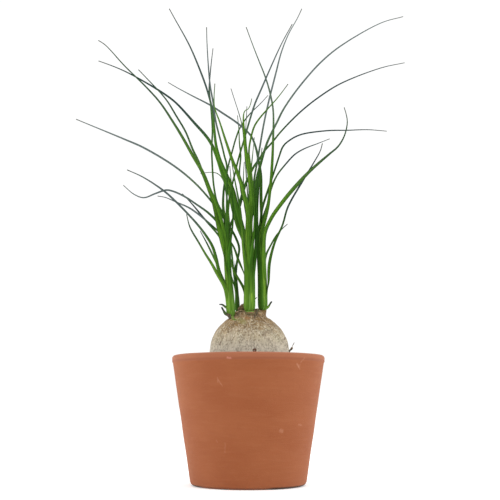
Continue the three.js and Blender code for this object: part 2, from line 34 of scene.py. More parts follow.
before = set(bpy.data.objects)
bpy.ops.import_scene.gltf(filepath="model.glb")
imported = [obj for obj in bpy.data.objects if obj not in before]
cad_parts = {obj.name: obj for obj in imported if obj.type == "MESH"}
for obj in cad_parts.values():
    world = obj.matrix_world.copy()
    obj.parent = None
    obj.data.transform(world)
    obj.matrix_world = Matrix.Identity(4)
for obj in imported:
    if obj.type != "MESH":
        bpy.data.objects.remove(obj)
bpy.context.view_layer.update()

# The camera's eye, and the plane through the pot's axis on which the leaves are read
EYE = np.array([1.5, -850.0, 71.0])
CAMERA_TILT = math.radians(9.58)
CAMERA_LENS = 66.2
CAMERA_SENSOR = 36

# Pot
POT_HEIGHT = 116.0
RIM_RADIUS = 70.0
COLLAR_HEIGHT = 7.0
COLLAR_STEP = 0.7
COLLAR_EDGE = POT_HEIGHT - COLLAR_HEIGHT
FOOT_RADIUS = 53.0
FOOT_HEIGHT = 6.0
BASE_RADIUS = 48.5
BASE_STEPS = [(-14, 0.0), (-1, 0.0), (0, 0.15), (1.7, 0.75), (2.9, 1.7), (3.9, 3.4)]
LIP_RADIUS = 2.8
WALL = 8.5
FLOOR = 10.0
DRAIN_RADIUS = 7.0
INNER_RADIUS = RIM_RADIUS - WALL
INNER_TOP = POT_HEIGHT - 2.6
INNER_FOOT = BASE_RADIUS - WALL + 3.5
INNER_CORNER = 4
POT_DENT = 0.22
LIP_WAVE = 0.12
POT_SIDES = 192
WALL_RINGS = 26
LIP_RINGS = 9
INNER_RINGS = 8

# Marks on the pot as seen from the front: x, z, x, z, half width, strength, and a colour if it isn't the
# usual one
PALE_MARK = (0.5, 0.22, 0.12)
POT_MARKS = [
    (-19, 114.2, -16.6, 113.8, 1.4, 0.55, (0.62, 0.25, 0.18)),
    (45, 108.4, 46.6, 105.6, 1.3, 0.6),
    (46.6, 105.6, 47.4, 103.4, 0.9, 0.35),
    (46.6, 106, 48, 108.4, 0.8, 0.35),
    (48.6, 110, 51.4, 113.6, 0.9, 0.4),
    (-28.4, 95.6, -28, 92, 0.9, 0.3),
    (-27.4, 93.6, -24, 88.4, 0.9, 0.4),
    (-21, 37, -21.4, 28.5, 0.9, 0.2),
    (-29, 39.4, -28, 37.8, 0.9, 0.2),
    (29.6, 48.2, 30.4, 47.8, 2.4, 0.45),
    (46, 53.6, 48.4, 53, 1.0, 0.4),
    (-24, -3.4, -19.6, -3.6, 1.6, 0.95, (0.02, 0.008, 0.005)),
]

# Soil
SOIL_LEVEL = 102.0
SOIL_MOUND = 3.0
MOUND_RADIUS = 34
SOIL_BLOTCH = 7
SOIL_ROUGHNESS = 0.9
SOIL_DROP = 0.5
SOIL_GAP = 0.35
SOIL_FLOOR = FLOOR + 0.3
SOIL_CORNER = 4.3
SOIL_WALL_HEIGHTS = (60.0, 96.0)
SOIL_TOP_WIDTH = 30
SOIL_TOP_RINGS = 30
SOIL_SIDES = 160
OPEN_SOIL = (38.5, 58.5)
CRUMBS = 620
CRUMB_SIZES = (0.5, 1.7)
CRUMB_SEED = 11
PERLITE = 46
PERLITE_SIZES = (0.5, 1.2)
PERLITE_SEED = 5
LUMP_STRETCH = (0.7, 1.2)
LUMP_DENT = 0.35
LUMP_RISE = 0.25

# Trunk base: half width against height
TRUNK_PROFILE = [
    (16, 76), (29, 86), (35, 100), (36.8, 112), (36.6, 120), (35.2, 129), (32, 136.5),
    (27.6, 142.5), (22.6, 147.2), (19.4, 149.6), (15, 151.4), (8, 152.2),
]
TRUNK_CENTRE = (0.4, 0.0)
TRUNK_DEPTH_SHARE = 0.96
TRUNK_WAVE = 0.011
TRUNK_SIDES = 120
TRUNK_VOXEL = 0.8

# Relief of the trunk's skin: how far apart and how high its ripples, its pits and the crown's knobs are, and
# the heights between which the knobs set in
RIPPLE_SPACING = 6
RIPPLE_HEIGHT = 0.22
PIT_SPACING = 2.4
PIT_DEPTH = 0.2
KNOB_SPACING = 2.2
KNOB_HEIGHT = 0.45
KNOBS_BETWEEN = (146, 153)

# Swellings on top of the trunk base: the crown, a neck, the web beside it, a neck behind and the old stem,
# each with its centre and its half width against height
SWELLINGS = [
    ((2.2, 1.5), [(19, 145.5), (16, 149.4), (13.8, 153), (11.8, 155.2), (8.5, 156.4)]),
    ((12.8, 2.5), [(5.4, 146), (4, 151), (3.7, 154), (4.4, 157.6)]),
    ((7.7, 0.2), [(5.4, 150), (3.6, 157), (1.4, 159.8)]),
    ((-10.2, 12), [(5.8, 146), (3, 158)]),
    ((-4.6, 6.6), [(6.2, 151), (5.5, 157), (5, 160.4), (3.4, 162.8), (1.2, 164.8)]),
]
SWELLING_SIDES = 40
ROOTLET_PATH = [
    (33, -2, 117), (36.6, -2, 119.6), (38.6, -2.2, 121), (39.8, -2.4, 122.4),
    (40.4, -2.6, 124.2), (41.2, -2.8, 126), (42.2, -3, 127.8),
]
ROOTLET_RADII = [2, 1.7, 0.8, 1.2, 0.2, 0.3, 0.25]

# Marks on the bark, as on the pot, and a round scar
BROWN_MARK = (0.12, 0.07, 0.04)
BARK_MARKS = [
    (-8, 158.6, -3, 158.2, 1.6, 0.8, (0.42, 0.29, 0.16)),
    (-9.4, 156.9, -1, 156.1, 0.8, 0.9, (0.09, 0.045, 0.02)),
    (-9.8, 160.4, -10.6, 156, 1.4, 0.8, (0.06, 0.05, 0.025)),
    (-2.4, 151.6, 0.6, 151, 1.7, 0.7, (0.3, 0.13, 0.05)),
    (-2.6, 154.6, 6, 154.6, 1.3, 0.85, (0.12, 0.065, 0.02)),
    (-0.8, 156.8, 3.6, 156.8, 2.5, 1.0, (0.12, 0.28, 0.03)),
    (7, 158.6, 7.4, 155, 1.7, 0.8, (0.07, 0.045, 0.02)),
    (9, 154, 12.4, 150.4, 1.5, 0.8),
    (5, 154, 6.4, 150.6, 1.3, 0.7),
    (10.4, 149, 15.4, 143.6, 0.9, 0.5),
    (14, 148.6, 19, 144.4, 0.9, 0.45),
    (17.6, 144.6, 22.6, 140, 0.9, 0.4),
    (-8.6, 149.6, -4.4, 147, 4.2, 0.45, (0.27, 0.27, 0.1)),
    (-19.4, 151.8, -16.4, 150.2, 2.6, 0.95, (0.06, 0.035, 0.016)),
    (-15, 149.4, -12, 149.2, 1.6, 0.9, (0.11, 0.18, 0.02)),
    (-24.6, 146, -22.6, 147, 1.5, 0.7),
    (-26.4, 126, -25.4, 128.4, 1.2, 0.75),
    (-25.4, 128.4, -22.6, 134, 0.9, 0.5),
    (33.4, 131, 33.9, 132.6, 1.1, 0.75),
    (35.6, 123.6, 35.9, 126, 1.0, 0.75),
    (14.6, 136.6, 15.6, 135.6, 1.0, 0.6),
    (-11, 129.6, -6, 129.4, 0.8, 0.45),
    (-9.6, 127.4, -8.8, 126.6, 0.9, 0.5),
]
SCAR = (5.8, 120.9)
SCAR_RADIUS = 1.6

# Rings round the old stem: height, half width, strength, colour
OLD_STEM_CENTRE = (-4.6, 6.6)
OLD_STEM_BANDS = [
    (155.9, 0.6, 0.9, (0.05, 0.03, 0.015)),
    (157.4, 0.8, 0.85, (0.48, 0.35, 0.2)),
    (159, 0.5, 0.75, (0.06, 0.035, 0.02)),
]

# The share of the camera's ray at which the search for a seen point starts, and its steps
RAY_START = 0.85
RAY_STEPS = 1500

# Blade section, how a blade widens and tapers, and how many degrees it is turned from facing the front:
# some always, and more if it reaches aside
BLADE_THICKNESS = 0.62
CHANNEL_SHARE = 0.12
TIP_WIDTH = 0.7
TIP_STOP = 0.5
TAPER_START = 0.3
TAPER_POWER = 1.15
SLENDER_WIDTH = 1.5
SLENDER_LOSS = 0.6
SLENDER_FROM = 0.72
WIDENING = (0.2, 0.45)
BLADE_TURN = 12
ASIDE_TURN = 30
RING_STEP = 3.2
BLADE_COLUMNS = 7


def blade(foot, seen, middle, tip, tone, path, **more):
    """A leaf by the widths that show from the front low down and further out, the depths half way and at
    the tip, its tone, which is painted light and shade for how lit it is, and (x, z) points outwards. It may
    also say that its upper side shows (upper), the share of the length from which it tapers (wide), the
    depth at the path's start (start), and from 0 to 1 how shaded it is in its bundle (deep) and how bleached
    further out (pale)."""
    return dict(foot=foot, seen=seen, middle=middle, tip=tip, tone=tone, path=path, **more)


LEFT_LEAVES = [
    blade(3.4, 3.2, -22, -62, 0.85, upper=True, path=[
        (-20.5, 168), (-23.6, 180), (-28, 189), (-34, 200.5), (-40, 210), (-47, 222), (-55, 236),
        (-58.5, 249)]),
    blade(3, 2.6, -14, -40, 0.1, pale=0.4, path=[
        (-19.5, 165), (-23.6, 182), (-28.4, 197), (-30.6, 207), (-34, 218), (-41, 229.5), (-50, 241),
        (-69, 261), (-80, 271), (-100, 284.5), (-116, 292)]),
    blade(2.6, 2.2, 6, 26, 0.35, path=[
        (-19, 166), (-23, 184), (-28.3, 198), (-33.8, 210), (-38.9, 220.5), (-45.6, 233)]),
    blade(4.4, 4.6, -30, -70, 0.85, upper=True, path=[
        (-22, 200), (-25, 222), (-28.4, 238), (-30.7, 250), (-33, 260), (-36.5, 270), (-44.3, 290),
        (-53, 305), (-63.5, 324), (-73, 339.7), (-85, 358), (-98, 373), (-120.4, 395.7), (-139.6, 417),
        (-147, 422)]),
    blade(3.6, 3.6, -46, -112, 0.6, upper=True, path=[
        (-23.5, 222), (-27.5, 248), (-32.5, 263), (-36.4, 272), (-40.6, 281), (-44.4, 291), (-48.2, 301),
        (-53.4, 312), (-60.2, 329), (-69.8, 345.6), (-79.4, 361.4), (-99.5, 384), (-107, 392)]),
    blade(3.2, 1.6, -24, -58, 0.35, pale=0.45, path=[
        (-20.7, 243), (-20.5, 268), (-20.4, 286), (-21, 298), (-22.8, 304.5), (-25, 314), (-28, 325.5),
        (-31, 337.5), (-32.8, 348), (-34, 358), (-37, 375), (-38.6, 391), (-40.5, 420), (-41, 436)]),
    blade(3.2, 2, 5, 34, 0.45, path=[
        (-25, 240), (-26.8, 249), (-29.5, 256), (-31.5, 267), (-33.3, 279), (-34.6, 298), (-35.2, 314),
        (-34.6, 330), (-36, 352), (-38, 372), (-37.4, 384), (-36, 400), (-34.5, 414)]),
    blade(3, 2.6, 40, 104, 0.1, path=[
        (-22.6, 236), (-24, 252), (-23.8, 268), (-22.5, 280), (-20.4, 290), (-18.5, 299), (-15.7, 309.5),
        (-12.2, 322.5), (-8.6, 332.5), (-3.5, 341), (2, 348), (12, 358), (19, 366)]),
    blade(3.2, 2, -40, -96, 0.25, pale=0.4, path=[
        (-18.4, 246), (-17.8, 262), (-15.6, 277), (-13, 288), (-11, 297), (-8.7, 306), (-5, 319),
        (-1.5, 331.5), (1.7, 343), (6, 357), (12, 371.5), (24, 400), (33, 420), (43, 439)]),
    blade(3.4, 2.6, 38, 62, 0.15, start=5, path=[
        (-13, 236), (-10, 250), (-7.5, 262), (-3.3, 277), (0, 284.7), (5.3, 295.7), (10, 302.3),
        (14.5, 309.7), (22.8, 319.3), (31.3, 330), (50.6, 350), (70, 365.7), (90, 378.3), (129, 393.8),
        (152, 399)]),
    blade(3, 2.6, -12, -18, 0.5, deep=1, path=[
        (-16.6, 210), (-15.6, 228), (-14.6, 245), (-15, 262), (-16.4, 280), (-17.8, 296)]),
]
BACK_LEAVES = [
    blade(1.8, 2, 34, -10, 0.1, pale=0.7, path=[
        (-10.4, 172), (-12, 186), (-11, 202), (-8.8, 216), (-12, 226), (-20, 240), (-28, 251.5),
        (-35.6, 261.7), (-50, 278), (-69.7, 294.7), (-100, 313.4), (-119, 322), (-150, 335.2),
        (-166, 342)]),
    blade(2.2, 2.6, 40, 84, 0.15, pale=0.5, path=[
        (-11.6, 172), (-16.5, 188.6), (-21, 206), (-25, 225), (-28.5, 239.5), (-37.5, 249.5), (-49, 258),
        (-61, 266), (-72, 271), (-78, 272), (-88, 268.7), (-99, 264.6), (-108.5, 268), (-119, 277)]),
    blade(1.8, 1.8, 84, 116, 0.05, path=[
        (-12, 176), (-15, 205), (-18, 240), (-21, 268), (-24.5, 283), (-30, 288.5), (-37, 289.4),
        (-46, 288)]),
]
CENTRE_LEAVES = [
    blade(1.9, 1.8, 20, 70, 0.25, path=[
        (-3.6, 172), (-8.8, 182.5), (-12.8, 192), (-16.5, 204), (-21.5, 216), (-27.7, 227.5), (-33.6, 235),
        (-38.4, 240.4), (-53.4, 258.6), (-62.8, 268.7)]),
    blade(2.2, 1.8, 30, 58, 0.1, pale=0.5, path=[
        (-2.6, 184), (-6.4, 195), (-10, 206), (-14.3, 218), (-20.5, 226), (-28, 232), (-38, 240.8),
        (-44.6, 246.5), (-55.7, 254.6), (-67.5, 260), (-79, 265), (-86.5, 266.3)]),
    blade(4.2, 4, 12, 40, 0.8, path=[
        (-4, 214), (-9.6, 236), (-14, 252), (-18, 269), (-21.7, 279.5), (-25.7, 290), (-29.5, 302),
        (-34.5, 315), (-40, 324), (-52, 338), (-70.4, 358.6), (-83.4, 368.6), (-109, 384.3), (-121.7, 391),
        (-133, 395.9), (-146, 400.8)]),
    blade(4.2, 3.8, -10, -24, 0.85, pale=0.2, path=[
        (-3, 218), (-7.5, 240), (-11, 254), (-14.5, 270), (-18.2, 280), (-22.3, 289.5), (-27.5, 302),
        (-31.2, 316), (-33, 332), (-34.8, 350), (-40, 371), (-47, 391), (-57.8, 417), (-73.5, 446.4),
        (-78, 455)]),
    blade(4.2, 3.8, -58, -128, 0.6, upper=True, wide=0.5, path=[
        (-0.5, 236), (-2, 258), (-5, 270), (-7.5, 280), (-11, 290), (-15, 300), (-21.7, 320), (-28, 340),
        (-30.8, 347.5), (-32.8, 354), (-33.2, 364), (-32.5, 378)]),
    blade(4.2, 3.2, -32, -78, 0.75, upper=True, wide=0.74, path=[
        (3.4, 240), (2.9, 262), (1.3, 280), (-1.2, 300), (-2.8, 312), (-4.2, 330), (-4.9, 340), (-4.6, 347),
        (-3.4, 350.4), (0, 352.3), (2, 357), (3.3, 363)]),
    blade(2.4, 1, 50, 100, 0.1, path=[
        (0, 250), (-2, 285), (-4, 315), (-6, 335), (-9, 347), (-13.5, 361.5), (-17, 373)]),
    blade(3, 2, 30, 66, 0.35, path=[
        (-3.5, 248), (-7.6, 276), (-8.6, 290), (-7.4, 305), (-8.6, 318), (-9.2, 331), (-10.6, 346)]),
    blade(2.4, 1, 62, 124, 0.4, path=[
        (1, 250), (-1, 300), (-2.6, 330), (-1.9, 345), (-1.5, 355)]),
    blade(4.2, 2.8, -14, -34, 0.4, pale=0.6, path=[
        (4.6, 240), (6, 262), (7.3, 279), (9, 288.5), (11.5, 298), (14.7, 309.5), (18.2, 320),
        (22.5, 329.5), (27.5, 339.5), (32.5, 350), (42, 365), (54.8, 382), (69.7, 399), (88.8, 415.5),
        (130, 440), (152, 446.5)]),
    blade(3.4, 1.6, 14, 6, 0.15, pale=0.7, path=[
        (5, 256), (5.2, 281), (8, 298.5), (11, 316), (14, 334), (17.2, 350), (20.5, 364.5), (26.6, 389),
        (32, 410), (39.4, 429), (47.8, 444.6), (52.5, 455)]),
    blade(3.8, 1.9, -20, -60, 0.9, upper=True, pale=0.15, path=[
        (3, 262), (1.6, 290), (0.4, 310), (2.2, 323), (5.7, 335), (11, 343.3), (17, 350.5), (28.2, 363.5),
        (38.5, 377.5)]),
    blade(3, 1.3, 40, 74, 0.5, path=[
        (3, 258), (2.8, 294), (3.6, 303), (4.6, 313), (5.7, 324)]),
    blade(2.4, 1.4, 26, 46, 0.2, deep=1, path=[
        (-1.5, 236), (-4, 262), (-4.8, 283), (-4, 300)]),
    blade(3.2, 3, -12, -20, 0.6, upper=True, deep=0.85, path=[
        (4, 206), (5, 225), (5.8, 245), (5.2, 262), (3.8, 280), (2, 298), (0.4, 312)]),
    blade(2.8, 3, -9, -14, 0.2, deep=1, path=[
        (4.4, 184), (5.8, 200), (6.6, 214), (7, 230), (6.8, 246), (7.2, 262), (8.4, 280), (10, 298)]),
    blade(3, 2.8, -14, -26, 0.5, path=[
        (-4.4, 200), (-5.4, 218), (-6, 236), (-7.6, 252), (-10.4, 268), (-13.4, 284), (-16, 300)]),
]
RIGHT_LEAVES = [
    blade(3.6, 2.6, -30, -66, 0.42, upper=True, wide=0.5, pale=0.5, path=[
        (15.6, 232), (18, 252), (20.8, 276), (22.6, 300), (23.6, 324), (24, 342), (23.4, 354),
        (19.7, 372.6), (15.3, 387), (10.4, 400), (3.4, 419), (-2.5, 436)]),
    blade(3, 2.2, 40, 70, 0.1, path=[
        (12.8, 245), (15.3, 262), (20, 277), (24.8, 291.5), (29, 304.5), (33, 315), (38.5, 320.5),
        (49.7, 326.6), (75, 330.6), (95, 331), (115, 331.5), (133, 330)]),
    blade(3.4, 2.6, 52, 118, 0.2, path=[
        (15.4, 240), (17.8, 256), (21.3, 273), (27, 286.3), (35, 297), (44.5, 307.3), (54, 313),
        (65.5, 317.5), (78, 322.5)]),
    blade(3, 3.2, -40, -104, 0.75, upper=True, wide=0.56, path=[
        (15.2, 215), (16.2, 232), (21.4, 245), (30.8, 258.8), (41.2, 271.9), (57.8, 290.1), (76.7, 307),
        (85.6, 314.8), (91.8, 325.4), (94.8, 338), (94.2, 345.5), (92, 354)]),
    blade(2.6, 2.2, -12, -30, 0.3, path=[
        (17.6, 170), (19.2, 183), (18.8, 193), (19.6, 203), (24.3, 221), (32, 238.5), (37.3, 256),
        (52, 282), (61.6, 298), (68.8, 311), (70.8, 318.5)]),
    blade(2.2, 1.8, 22, 44, 0.15, path=[
        (15, 198), (17.6, 211), (24.7, 226), (30.2, 233.2), (37, 239.5)]),
    blade(3.4, 3, 20, 60, 0.4, deep=0.6, pale=0.5, path=[
        (11.6, 240), (11.7, 270), (11.7, 286), (9.6, 300), (6.7, 314.5), (2.5, 325), (-5, 333),
        (-13, 339.7), (-24, 347.3), (-37, 356), (-53, 364.6), (-69, 373.5), (-78, 379)]),
    blade(3.4, 3.2, -2, 2, 0.4, deep=0.72, path=[
        (9.4, 205), (8.4, 225), (8.2, 245), (8.8, 262), (10, 280), (11.4, 298), (13, 314)]),
]

# Stubs of old leaves at the foot of the sheaths: the radius, how green the root is, how dark they are, and
# the path
LEFT_STUBS = [
    (1.7, 0.3, 0.95, [(-17.4, -7, 152.6), (-20.6, -7.4, 153.6), (-23, -7.6, 157), (-24.6, -7.6, 160)]),
    (1.3, 0.4, 0.95, [(-18.6, -5, 158.5), (-22, -5.4, 161), (-24, -5.6, 162.4), (-26.8, -6, 162.6)]),
    (1.3, 0.0, 0.5, [(-19.4, -8.2, 153.6), (-18.4, -9, 151.6), (-17.6, -9.6, 149.8)]),
    (1.3, 0.0, 0.6, [(-17, -9, 153), (-16.8, -9.8, 151.2), (-16.4, -11, 149.4)]),
]
CENTRE_STUBS = [
    (0.7, 0.6, 0.95, [(3.6, -4, 165), (6, -4.4, 167.6), (8, -4.8, 169.4)]),
]
RIGHT_STUBS = [
    (1.5, 1.0, 0.95, [(14.6, 0.6, 158.8), (18.4, 0, 161), (20.4, -0.4, 164.2), (21.8, -0.6, 166)]),
]

# Shoots: the middle line and the half width of each sheath of leaf bases, its leaves and stubs, and for some
# how bright the sheath is painted as painted shade, the heights between which its leaves are shaded and how
# much
SHOOTS = {
    "shoot_left": dict(
        axis=[(-15.8, -5, 150.6), (-17.2, -4.4, 165), (-19, -4.5, 190), (-19.8, -5, 212), (-20, -5, 240)],
        radii=[3.6, 3.4, 2.7, 2.8, 1.3],
        leaves=LEFT_LEAVES,
        stubs=LEFT_STUBS,
    ),
    "shoot_back": dict(
        axis=[(-10.2, 12, 158), (-10.6, 11.4, 172), (-12, 11, 190), (-13, 11, 206)],
        radii=[1.9, 1.8, 1.5, 0.8],
        leaves=BACK_LEAVES,
        stubs=[],
        tone=0.0,
        shade=(140, 212),
        deep=0.9,
    ),
    "shoot_centre": dict(
        axis=[(1, -2.5, 155.6), (1.2, -2.5, 170), (0.8, -3, 195), (0, -3.5, 220), (1, -4, 254)],
        radii=[4.7, 4.6, 4.4, 4.4, 1.6],
        leaves=CENTRE_LEAVES,
        stubs=CENTRE_STUBS,
    ),
    "shoot_right": dict(
        axis=[(13.4, 2.5, 157), (13.2, 3, 170), (12.4, 4, 195), (11.2, 5, 218), (11.4, 5.5, 248)],
        radii=[3.8, 3.9, 3.6, 3.8, 1.4],
        leaves=RIGHT_LEAVES,
        stubs=RIGHT_STUBS,
        shade=(140, 250),
        deep=0.12,
    ),
}

# Dry fibres and torn leaf bases that lie on the crown: the radius, how dark and how green they are, and
# (x, z) points as seen from the front
FIBRES = [
    (0.7, 0.4, 0.1, [(-3.8, 156.6), (-2.2, 154.8), (1.2, 153.9), (4.4, 154.2), (6.8, 155.8)]),
    (0.45, 0.0, 0.0, [(-1.6, 153.6), (1.6, 152.8), (4.6, 153.2)]),
    (0.8, 0.5, 0.0, [(8.8, 158.6), (7.8, 155.8), (6.6, 153.2), (5.4, 150.4)]),
    (0.45, 0.3, 0.0, [(9.6, 157), (8.8, 154.2), (8.6, 151.4)]),
    (0.7, 0.5, 0.0, [(-10, 157.4), (-6.4, 156.4), (-2.4, 156.4)]),
    (0.4, 0.0, 0.0, [(-9.4, 155.4), (-6, 154.9), (-3.4, 155.2)]),
    (1.3, 0.1, 0.7, [(-16.2, 153), (-14.4, 151), (-12.8, 148.8)]),
    (0.5, 0.3, 0.3, [(10, 161), (9.4, 158.6), (10, 156)]),
    (0.45, 0.35, 0.2, [(10.4, 156.8), (12.8, 156.2), (15.6, 156.2)]),
    (0.35, 0.2, 0.0, [(12, 155.6), (13.2, 152.6), (15.6, 149)]),
    (0.35, 0.1, 0.0, [(15, 154.6), (16.4, 151.6), (19.4, 147.4)]),
    (0.35, 0.2, 0.0, [(-11.4, 156), (-12.6, 153.6), (-13, 151.6)]),
]

# The heights between which the leaves inside the other shoots are shaded, and how softly the shade ends
BUNDLE_SHADE = (178, 245)
SHADE_ENDS = (20, 45)

# The foot of a blade, which wraps round its sheath and comes free near the start of its path
FOOT_END = 10.0
FOOT_RINGS = 14
FOOT_ROUNDING = 7.0
FOOT_LEAST = 0.35
WRAP_GAP = 0.1
WRAP_LAYERS = 0.55
WRAP_HALVES = (3.6, 2.6)
FREE_FROM = -16
FREE_AT = 26
WRAP_RISES = ((-2, 0.35), (4, 0.35), (20, 0.85), (44, 0.95))

# Rolled young leaves inside a sheath, and dry scales round its foot
CORE_SIDES = 30
CORE_LEAF = 77.0
PLUG_DEPTH = 4.0
FLUTES = 2.5
FLUTE_DEPTH = 0.09
CORE_POINT = 0.85
CORE_POINT_FROM = 0.8
SCALES = 7
SCALE_ROWS = 6
SCALE_COLUMNS = 7
SCALE_THICKNESS = 0.35
SCALE_HEIGHTS = (1.6, 3.2)
SCALE_SPREADS = (0.38, 0.6)
SCALE_SINK = 1.2
SCALE_RAGGED = 0.6
SCALE_SEED = 20

# Light, floor and world
WHITE = (1, 1, 1, 1)
FLOOR_REACH = 30.0
FLOOR_GLOW = 0.3
WORLD_FRONT = 0.62
WORLD_BACK = 1.04
WORLD_CHANGE = (-0.95, 0.15)
SOFTBOX_POWER = 5.0
SOFTBOX_TARGET = (0, 0, 0.2)
SOFTBOXES = [
    ("softbox_left", (-1.1, -0.25, 0.45), 0.9, 1.1),
    ("softbox_right", (1.1, -0.25, 0.45), 0.9, 1.1),
    ("softbox_top", (0.1, -0.3, 1.4), 0.9, 0.9),
]


def lerp(a, b, share):
    return a + (b - a) * share


def clamp(value):
    return min(max(value, 0.0), 1.0)


def smoothstep(value, low, high):
    share = clamp((value - low) / (high - low))
    return share * share * (3 - 2 * share)


def unit(vector):
    return vector / np.linalg.norm(vector)


def turned(vector, axis, angle):
    """A vector turned about a unit axis."""
    cos = math.cos(angle)
    sin = math.sin(angle)
    return vector * cos + np.cross(axis, vector) * sin + axis * np.dot(axis, vector) * (1 - cos)


def turns(sides):
    """Evenly spaced angles round a circle."""
    return [2 * math.pi * side / sides for side in range(sides)]


def round_point(radius, turn):
    return radius * math.cos(turn), radius * math.sin(turn)


def smooth_line(points, samples=16):
    """A dense line through points: the centripetal Catmull-Rom curve that the part's source uses."""
    points = [np.array(p, dtype=float) for p in points]
    padded = [2 * points[0] - points[1], *points, 2 * points[-1] - points[-2]]
    line = []
    for before, start, end, after in zip(padded, padded[1:], padded[2:], padded[3:]):
        d0 = math.sqrt(np.linalg.norm(start - before))
        d1 = math.sqrt(np.linalg.norm(end - start))
        d2 = math.sqrt(np.linalg.norm(after - end))
        m0 = ((start - before) / d0 - (end - before) / (d0 + d1) + (end - start) / d1) * d1
        m1 = ((end - start) / d1 - (after - start) / (d1 + d2) + (after - end) / d2) * d1
        cubic = 2 * start - 2 * end + m0 + m1
        square = 3 * end - 3 * start - 2 * m0 - m1
        for i in range(samples):
            s = i / samples
            line.append(start + m0 * s + square * s * s + cubic * s ** 3)
    line.append(points[-1])
    return np.array(line)


def runs_along(line):
    """The distance from the start of a line to each of its points."""
    steps = np.linalg.norm(np.diff(line, axis=0), axis=1)
    return np.concatenate([[0.0], np.cumsum(steps)])


def shares_along(line):
    runs = runs_along(line)
    return runs / runs[-1]


def heading(line, i):
    """The direction of a line at one of its points."""
    return unit(line[min(i + 1, len(line) - 1)] - line[max(i - 1, 0)])


# Meshes

def add_object(name, data):
    made = bpy.data.objects.new(name, data)
    bpy.context.scene.collection.objects.link(made)
    return made


class Form:
    """Points, faces and point attributes of a mesh in the making."""

    def __init__(self, *attributes):
        self.points = []
        self.faces = []
        self.sharp = set()
        self.values = {name: [] for name in attributes}

    def add(self, points, faces, sharp=(), **values):
        start = len(self.points)
        self.points.extend([tuple(p) for p in points])
        self.faces.extend([tuple(start + i for i in face) for face in faces])
        self.sharp.update((start + a, start + b) for a, b in sharp)
        for name, store in self.values.items():
            given = values.get(name, 0.0)
            store.extend(given if hasattr(given, "__len__") else [given] * len(points))

    def piece(self, name, material, slot):
        """A piece of the fixed object, in a material. The slot is not used."""
        mesh = bpy.data.meshes.new(name)
        mesh.from_pydata([[c * MM for c in p] for p in self.points], [], self.faces)
        mesh.polygons.foreach_set("use_smooth", [True] * len(mesh.polygons))
        for attribute, store in self.values.items():
            layer = mesh.attributes.new(attribute, "FLOAT", "POINT")
            layer.data.foreach_set("value", [float(v) for v in store])
        if self.sharp:
            layer = mesh.attributes.new("sharp_edge", "BOOLEAN", "EDGE")
            marks = [tuple(sorted(edge.vertices)) in self.sharp for edge in mesh.edges]
            layer.data.foreach_set("value", marks)
        mesh.materials.append(material)
        piece = add_object(name, mesh)
        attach(piece, "root")
        return piece


def band(rings, sides, closed=True):
    """Quads between rings of points."""
    faces = []
    for low in range(0, (rings - 1) * sides, sides):
        for side in range(sides if closed else sides - 1):
            after = (side + 1) % sides
            faces.append((low + side, low + after, low + sides + after, low + sides + side))
    return faces


def capped(rings, sides):
    """Quads between rings of points, with a face over each end."""
    last = (rings - 1) * sides
    return [*band(rings, sides), tuple(reversed(range(sides))), tuple(range(last, last + sides))]


def tube(line, radii, sides, squash=1.0):
    """Points and faces of a round rod along a line, with its ends closed."""
    points = []
    for i, centre in enumerate(line):
        along = heading(line, i)
        across = unit(np.cross([0.0, 1.0, 0.0], along))
        other = np.cross(along, across)
        for turn in turns(sides):
            flat = squash * radii[i] * math.sin(turn)
            points.append(centre + across * radii[i] * math.cos(turn) + other * flat)
    return points, capped(len(line), sides)


def add_rod(form, path, width, sides=12, uneven=0.2, grain=1.5, squash=1.0, **values):
    """An uneven rod along a path. Its width and its attributes depend on the share of its length."""
    line = smooth_line(path, samples=6)
    shares = shares_along(line)
    radii = [width(s) * (1 + uneven * noise.noise(Vector(p) / grain)) for s, p in zip(shares, line)]
    points, faces = tube(line, radii, sides, squash)
    values = {name: [value(s) for s in shares for _ in range(sides)] for name, value in values.items()}
    form.add(points, faces, **values)


# Shaders

